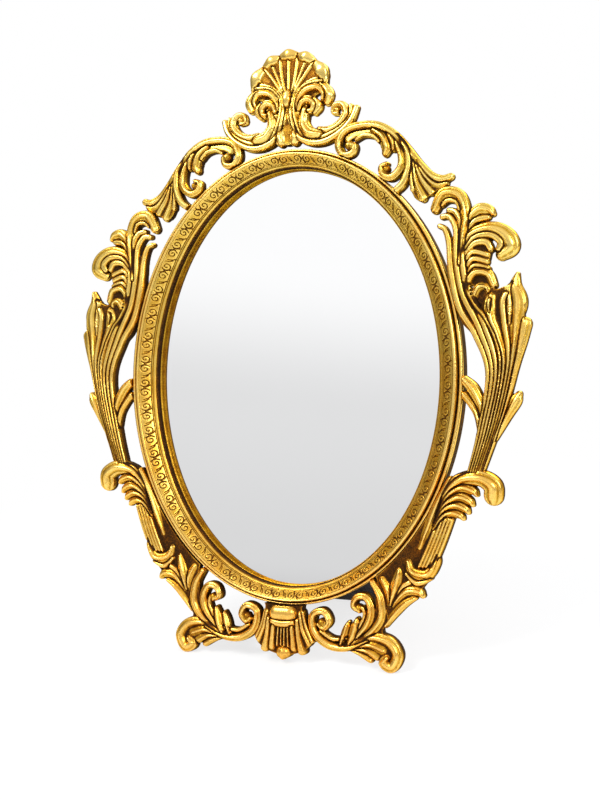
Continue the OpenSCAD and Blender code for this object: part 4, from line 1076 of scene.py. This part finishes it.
def finish_casting(piece, node):
    """Gilds a casting and puts it in the place of its node."""
    finish_piece(piece, bpy.data.materials["gilt_casting"], "frame", [node])


class MIRROR_OT_crest(bpy.types.Operator):
    """Shell crest with its crescents and volutes"""
    bl_idname = "mirror.crest"
    bl_label = "Crest"

    def execute(self, context):
        piece = cast("crest_casting", CREST, CREST_EYES, [(CREST_GROUND, 4.7), (CREST_LOWER_GROUND, 6.6)],
                     CREST_MIDDLE, both=True, lift=1.1)
        finish_casting(piece, "crest")
        return {"FINISHED"}


def cast_pair(name, node, *args, **settings):
    """A casting for the right side, and its twin for the left."""
    right = cast(name + "_right", *args, **settings)
    left = other_side(right, name + "_left")
    finish_casting(right, node + "_right")
    finish_casting(left, node + "_left")


class MIRROR_OT_upper_scrolls(bpy.types.Operator):
    """Arched scrolls between the crest and the plumes"""
    bl_idname = "mirror.upper_scrolls"
    bl_label = "Upper scrolls"

    def execute(self, context):
        cast_pair("upper_scroll_casting", "upper_scroll", UPPER, UPPER_EYES, [(UPPER_GROUND, 5.2)])
        return {"FINISHED"}


class MIRROR_OT_plumes(bpy.types.Operator):
    """Long fluted plumes at the sides"""
    bl_idname = "mirror.plumes"
    bl_label = "Side plumes"

    def execute(self, context):
        cast_pair("side_plume_casting", "side_plume", PLUME, (), [(PLUME_GROUND, 6.2)],
                  piercings=PLUME_PIERCINGS)
        return {"FINISHED"}


class MIRROR_OT_lower_leaves(bpy.types.Operator):
    """Curled leaves with fluted stems under the plumes"""
    bl_idname = "mirror.lower_leaves"
    bl_label = "Lower leaves"

    def execute(self, context):
        left, right = np.array(STEM_LEFT), np.array(STEM_RIGHT)
        flutes = [["round", *(left + (right - left) * i / (STEM_FLUTES - 1)).tolist()]
                  for i in range(STEM_FLUTES)]
        cast_pair("lower_leaf_casting", "lower_leaf", LEAF + flutes, (), [(LEAF_GROUND, 5.6)])
        return {"FINISHED"}


class MIRROR_OT_feet(bpy.types.Operator):
    """Scrolls with the curled feet that the mirror stands on"""
    bl_idname = "mirror.feet"
    bl_label = "Foot scrolls"

    def execute(self, context):
        cast_pair("foot_scroll_casting", "foot_scroll", FOOT, FOOT_EYES, [(FOOT_GROUND, 6.2)])
        for side in ("left", "right"):
            # The foot is filed flat where it stands
            mesh = bpy.data.objects["foot_scroll_casting_" + side].data
            co = coords(mesh)
            co[:, 2] = np.maximum(co[:, 2], 0)
            set_coords(mesh, co)
        return {"FINISHED"}


class MIRROR_OT_apron(bpy.types.Operator):
    """Small shell between the feet"""
    bl_idname = "mirror.apron"
    bl_label = "Apron shell"

    def execute(self, context):
        piece = cast("apron_casting", APRON, (), [(APRON_GROUND, 7.8)], APRON_MIDDLE, both=True)
        finish_casting(piece, "apron_shell")
        return {"FINISHED"}


class MIRROR_OT_glass(bpy.types.Operator):
    """Finishes of the glass, the card and the board"""
    bl_idname = "mirror.glass"
    bl_label = "Glass and back packet"

    def execute(self, context):
        dress(("mirror_glass",), mirror_glass())
        dress(("packing_card",), card())
        dress(("back_board", "strut_core"), wood())
        return {"FINISHED"}


def dress(nodes, material):
    """Gives CAD nodes a finished material."""
    for node in nodes:
        mesh = frame["nodes"][node].data
        mesh.materials.clear()
        mesh.materials.append(material)


def drill(piece, low, rows, depth):
    """Screw holes: two columns of holes, one pair at each height of rows, from level low upwards."""
    cut = bmesh.new()
    for x in (-SCREW_X, SCREW_X):
        for v in rows:
            add_peg(cut, x, v, low + depth / 2, SCREW_R, depth, 24)
    bore(piece, cut)


class MIRROR_OT_velvet(bpy.types.Operator):
    """Velvet glued to the back board, and velvet wrapped round the strut's core"""
    bl_idname = "mirror.velvet"
    bl_label = "Velvet"

    def execute(self, context):
        self.back()
        self.strut()
        return {"FINISHED"}

    def back(self):
        """An oval sheet with a soft edge: the side on the board, the edge, and the side that shows."""
        a, b, front = REBATE_A - REBATE_GAP, REBATE_B - REBATE_GAP, REAR_Z + VELVET_T
        rows = [[a * k, b * k, front] for k in (0, .35, .7, .9)]
        rows += [[a - d, b - d, z] for d, z in ((.15, front), (0, front - .1), (0, REAR_Z + .35),
                                                (.08, REAR_Z + .16), (.25, REAR_Z + .04), (.55, REAR_Z))]
        rows += [[a * k, b * k, REAR_Z] for k in (.97, .9, .8, .7, .6, .5, .4, .3, .2, .1, 0)]
        piece, _, _ = oval_sweep("velvet_back", rows, VELVET_STEPS)
        face_outwards(piece.data, weld=1e-3)
        drill(piece, REAR_Z - 1, [HINGE_V + v for v in SCREW_ROWS], VELVET_T + 2)
        finish_piece(piece, velvet("back_pile"), "frame", ["back_velvet"])

    def strut(self):
        """A sleeve that covers the core on both faces and round its edges."""
        low = PAD_H - STRUT_LEN
        right = [(STRUT_FOOT, low), (STRUT_FOOT, low + FOOT_STRAIGHT),
                 (STRUT_SHOULDER, STRUT_TOP - CORNER_H), (STRUT_SHOULDER - CORNER_W, STRUT_TOP)]
        left = [(-x, v) for x, v in reversed(right)]
        bm = bmesh.new()
        face = add_plate(bm, left[-1:] + right + left[:-1], STRUT_BACK, STRUT_T)
        cut = face.calc_area()
        bmesh.ops.bevel(bm, geom=bm.edges, offset=VELVET_T, offset_type="OFFSET", segments=4, profile=.5,
                        affect="EDGES", material=-1)
        bmesh.ops.recalc_face_normals(bm, faces=bm.faces)
        piece = mesh_from(bm, "velvet_strut")
        wall = piece.modifiers.new("cloth", "SOLIDIFY")
        wall.thickness = VELVET_T
        wall.offset = -1
        apply_modifiers(piece)
        drill(piece, STRUT_BACK - 1, [STRUT_TOP - v for v in reversed(SCREW_ROWS)], VELVET_T + 1.4)
        finish_piece(piece, velvet("strut_pile"), "strut", ["strut_velvet"], STRUT)
        piece.data.set_sharp_from_angle(angle=math.radians(50))


# Angles between two faces: up to the first they are one flat, over the second their edge is rounded, and over
# the third their shading breaks
ONE_FLAT, ROUNDED, BREAKS = (math.radians(angle) for angle in (2, 40, 32))


def soften(node, width, material, body):
    """A finished copy of a CAD node: the same solids with their sharp edges rounded, width in millimetres."""
    bm = bmesh.new()
    bm.from_mesh(frame["nodes"][node].data)
    bmesh.ops.remove_doubles(bm, verts=bm.verts, dist=1e-6)
    bmesh.ops.dissolve_limit(bm, angle_limit=ONE_FLAT, verts=bm.verts, edges=bm.edges)
    sharp = [e for e in bm.edges if len(e.link_faces) == 2 and e.calc_face_angle(0) > ROUNDED]
    bmesh.ops.bevel(bm, geom=sharp, offset=width * MM, offset_type="OFFSET", segments=2, profile=.5,
                    affect="EDGES", clamp_overlap=True, material=-1)
    piece = mesh_from(bm, node + "_finished")
    piece.data.polygons.foreach_set("use_smooth", [True] * len(piece.data.polygons))
    piece.data.set_sharp_from_angle(angle=BREAKS)
    # Flats stay flat and only the rounded edges are shaded round
    piece.modifiers.new("shading", "WEIGHTED_NORMAL").keep_sharp = True
    apply_modifiers(piece)
    finish_piece(piece, material, body, [node], Matrix.Identity(4))


class MIRROR_OT_fittings(bpy.types.Operator):
    """Clips, screws, hinge and rubber foot"""
    bl_idname = "mirror.fittings"
    bl_label = "Fittings"

    def execute(self, context):
        hinge = plain_brass("hinge_brass", (.76, .52, .19), .3)
        screws = plain_brass("screw_brass", (.62, .42, .16), .34)
        soften("retaining_clips", .16, plain_brass("clip_brass", (.72, .47, .16), .36), "frame")
        soften("hinge_fixed_leaf", .2, hinge, "frame")
        soften("hinge_moving_leaf", .2, hinge, "strut")
        soften("clip_screws", .08, screws, "frame")
        soften("fixed_leaf_screws", .08, screws, "frame")
        soften("moving_leaf_screws", .08, screws, "strut")
        soften("hinge_pin", .14, steel(), "frame")
        soften("strut_foot", .7, rubber(), "strut")
        return {"FINISHED"}


# In metres
FLOOR_RADIUS = 6
# What metal and glass see round them: [how far up a direction points, from 0 to 1, and the brightness there],
# and [how far to either side it points, and the share of that brightness which is left]
STUDIO_RISE = ((.0, .25), (.49, .40), (.53, .70), (.598, .76), (.66, 1.0))
STUDIO_SIDES = ((.62, 1.0), (.9, .42))
# Light of the room on everything that doesn't mirror
ROOM = (.62, .63, .65, 1)
WHITE = (1, 1, 1, 1)
# Soft boxes: [name, place, size, power], all turned towards the mirror
LAMPS = (("key_lamp", (-.55, -.75, 1.25), .55, 14.5), ("right_lamp", (1.15, -.55, .75), .5, 8.4),
         ("back_lamp", (.5, 1.2, 1.1), .7, 12))
LAMP_TARGET = Vector((0, 0, .18))
# The camera in the mirror's own frame: its place, and the turn, tilt and roll of its view in radians
CAMERA_PLACE = Vector((280.5, -24.4, 629.9))
CAMERA_TURN, CAMERA_TILT, CAMERA_ROLL = .4077847, -.0137413, .0061254
SENSOR_W = 36


class MIRROR_OT_stage(bpy.types.Operator):
    """Floor, lights, world and camera"""
    bl_idname = "mirror.stage"
    bl_label = "Stage"

    def execute(self, context):
        scene = context.scene
        self.add_floor()
        self.add_world(scene)
        self.add_lamps(scene)
        self.add_camera(scene)
        scene.view_settings.view_transform = "Standard"
        return {"FINISHED"}

    def add_floor(self):
        """White paper that keeps its shadows near the mirror and fades to plain white away from it."""
        bm = bmesh.new()
        bmesh.ops.create_circle(bm, cap_ends=True, segments=96, radius=FLOOR_RADIUS)
        floor = mesh_from(bm, "floor")
        s = Shader("floor_paper")
        s.set(Base_Color=(.9, .9, .9, 1), Roughness=.8)
        glow = s.add("ShaderNodeEmission")
        glow.inputs["Color"].default_value = WHITE
        far = s.add("ShaderNodeVectorMath", operation="LENGTH")
        s.link(s.place, far.inputs[0])
        clear = s.ramp(far.outputs["Value"], (.12, .72), (.5, 1.0))
        mixed = s.cross(s.math("MULTIPLY", s.seen(), clear), s.shader.outputs[0], glow.outputs[0])
        s.link(mixed, s.out.inputs["Surface"])
        floor.data.materials.append(s.material)

    def add_world(self, scene):
        """White to the camera; in reflections a studio, white above and in front, darker at the sides."""
        world = bpy.data.worlds.new("studio")
        scene.world = world
        world.use_nodes = True
        n = Nodes(world.node_tree)

        def background(colour):
            """Light of one colour from all round."""
            node = n.add("ShaderNodeBackground")
            n.put(node.inputs["Color"], colour)
            return node.outputs[0]

        split = n.add("ShaderNodeSeparateXYZ")
        n.link(n.add("ShaderNodeTexCoord").outputs["Generated"], split.inputs[0])
        rise = n.ramp(n.math("MULTIPLY_ADD", split.outputs["Z"], .5, .5), *STUDIO_RISE, curve="EASE")
        sides = n.ramp(n.math("ABSOLUTE", split.outputs["X"]), *STUDIO_SIDES)
        studio = background(n.mix(1.0, rise, sides, "MULTIPLY"))
        glossy = n.add("ShaderNodeLightPath").outputs["Is Glossy Ray"]
        lit = n.cross(glossy, background(ROOM), studio)
        out = n.add("ShaderNodeOutputWorld")
        n.link(n.cross(n.seen(), lit, background(WHITE)), out.inputs["Surface"])

    def add_lamps(self, scene):
        """Soft boxes: above on the left, on the right, and behind for the back."""
        for name, place, size, power in LAMPS:
            data = bpy.data.lights.new(name, "AREA")
            data.energy = power
            data.size = size
            lamp = bpy.data.objects.new(name, data)
            lamp.location = place
            lamp.rotation_euler = (LAMP_TARGET - Vector(place)).to_track_quat("-Z", "Y").to_euler()
            scene.collection.objects.link(lamp)

    def add_camera(self, scene):
        """The camera stands where the photograph was taken: right of the middle and a little above it."""
        data = bpy.data.cameras.new("photo_camera")
        data.lens = scene.mirror_sizes.lens
        data.sensor_width = SENSOR_W
        camera = bpy.data.objects.new("photo_camera", data)
        back = Vector((math.sin(CAMERA_TURN) * math.cos(CAMERA_TILT), math.sin(CAMERA_TILT),
                       math.cos(CAMERA_TURN) * math.cos(CAMERA_TILT)))
        across = Vector((math.cos(CAMERA_TURN), 0, -math.sin(CAMERA_TURN)))
        up = back.cross(across)
        right = math.cos(CAMERA_ROLL) * across + math.sin(CAMERA_ROLL) * up
        top = -math.sin(CAMERA_ROLL) * across + math.cos(CAMERA_ROLL) * up
        axes = Matrix((right, top, back)).transposed()
        lean = Matrix.Rotation(math.pi / 2 - LEAN, 3, "X")
        camera.matrix_world = Matrix.Translation(STAND @ CAMERA_PLACE) @ (lean @ axes).to_4x4()
        scene.collection.objects.link(camera)
        scene.camera = camera


class MIRROR_PT_panel(bpy.types.Panel):
    """Lists the pieces, sizes and colours"""
    bl_idname = "MIRROR_PT_panel"
    bl_label = "Oval table mirror"
    bl_space_type = "VIEW_3D"
    bl_region_type = "UI"
    bl_category = "Mirror"

    def draw(self, context):
        for group in (context.scene.mirror_sizes, context.scene.mirror_colours):
            for key in type(group).__annotations__:
                self.layout.prop(group, key)
        for operator in OPERATORS:
            self.layout.operator(operator.bl_idname)


OPERATORS = (MIRROR_OT_rim, MIRROR_OT_crest, MIRROR_OT_upper_scrolls, MIRROR_OT_plumes,
             MIRROR_OT_lower_leaves, MIRROR_OT_feet, MIRROR_OT_apron, MIRROR_OT_glass, MIRROR_OT_velvet,
             MIRROR_OT_fittings, MIRROR_OT_stage)
CLASSES = (MirrorSizes, MirrorColours, *OPERATORS, MIRROR_PT_panel)


def register():
    for item in CLASSES:
        bpy.utils.register_class(item)
    bpy.types.Scene.mirror_sizes = bpy.props.PointerProperty(type=MirrorSizes)
    bpy.types.Scene.mirror_colours = bpy.props.PointerProperty(type=MirrorColours)


def unregister():
    del bpy.types.Scene.mirror_colours
    del bpy.types.Scene.mirror_sizes
    for item in reversed(CLASSES):
        bpy.utils.unregister_class(item)


def main():
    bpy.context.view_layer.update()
    register()
    antique_gold("gilt_casting")
    for operator in OPERATORS:
        group, name = operator.bl_idname.split(".")
        getattr(getattr(bpy.ops, group), name)()


if __name__ == "__main__":
    main()
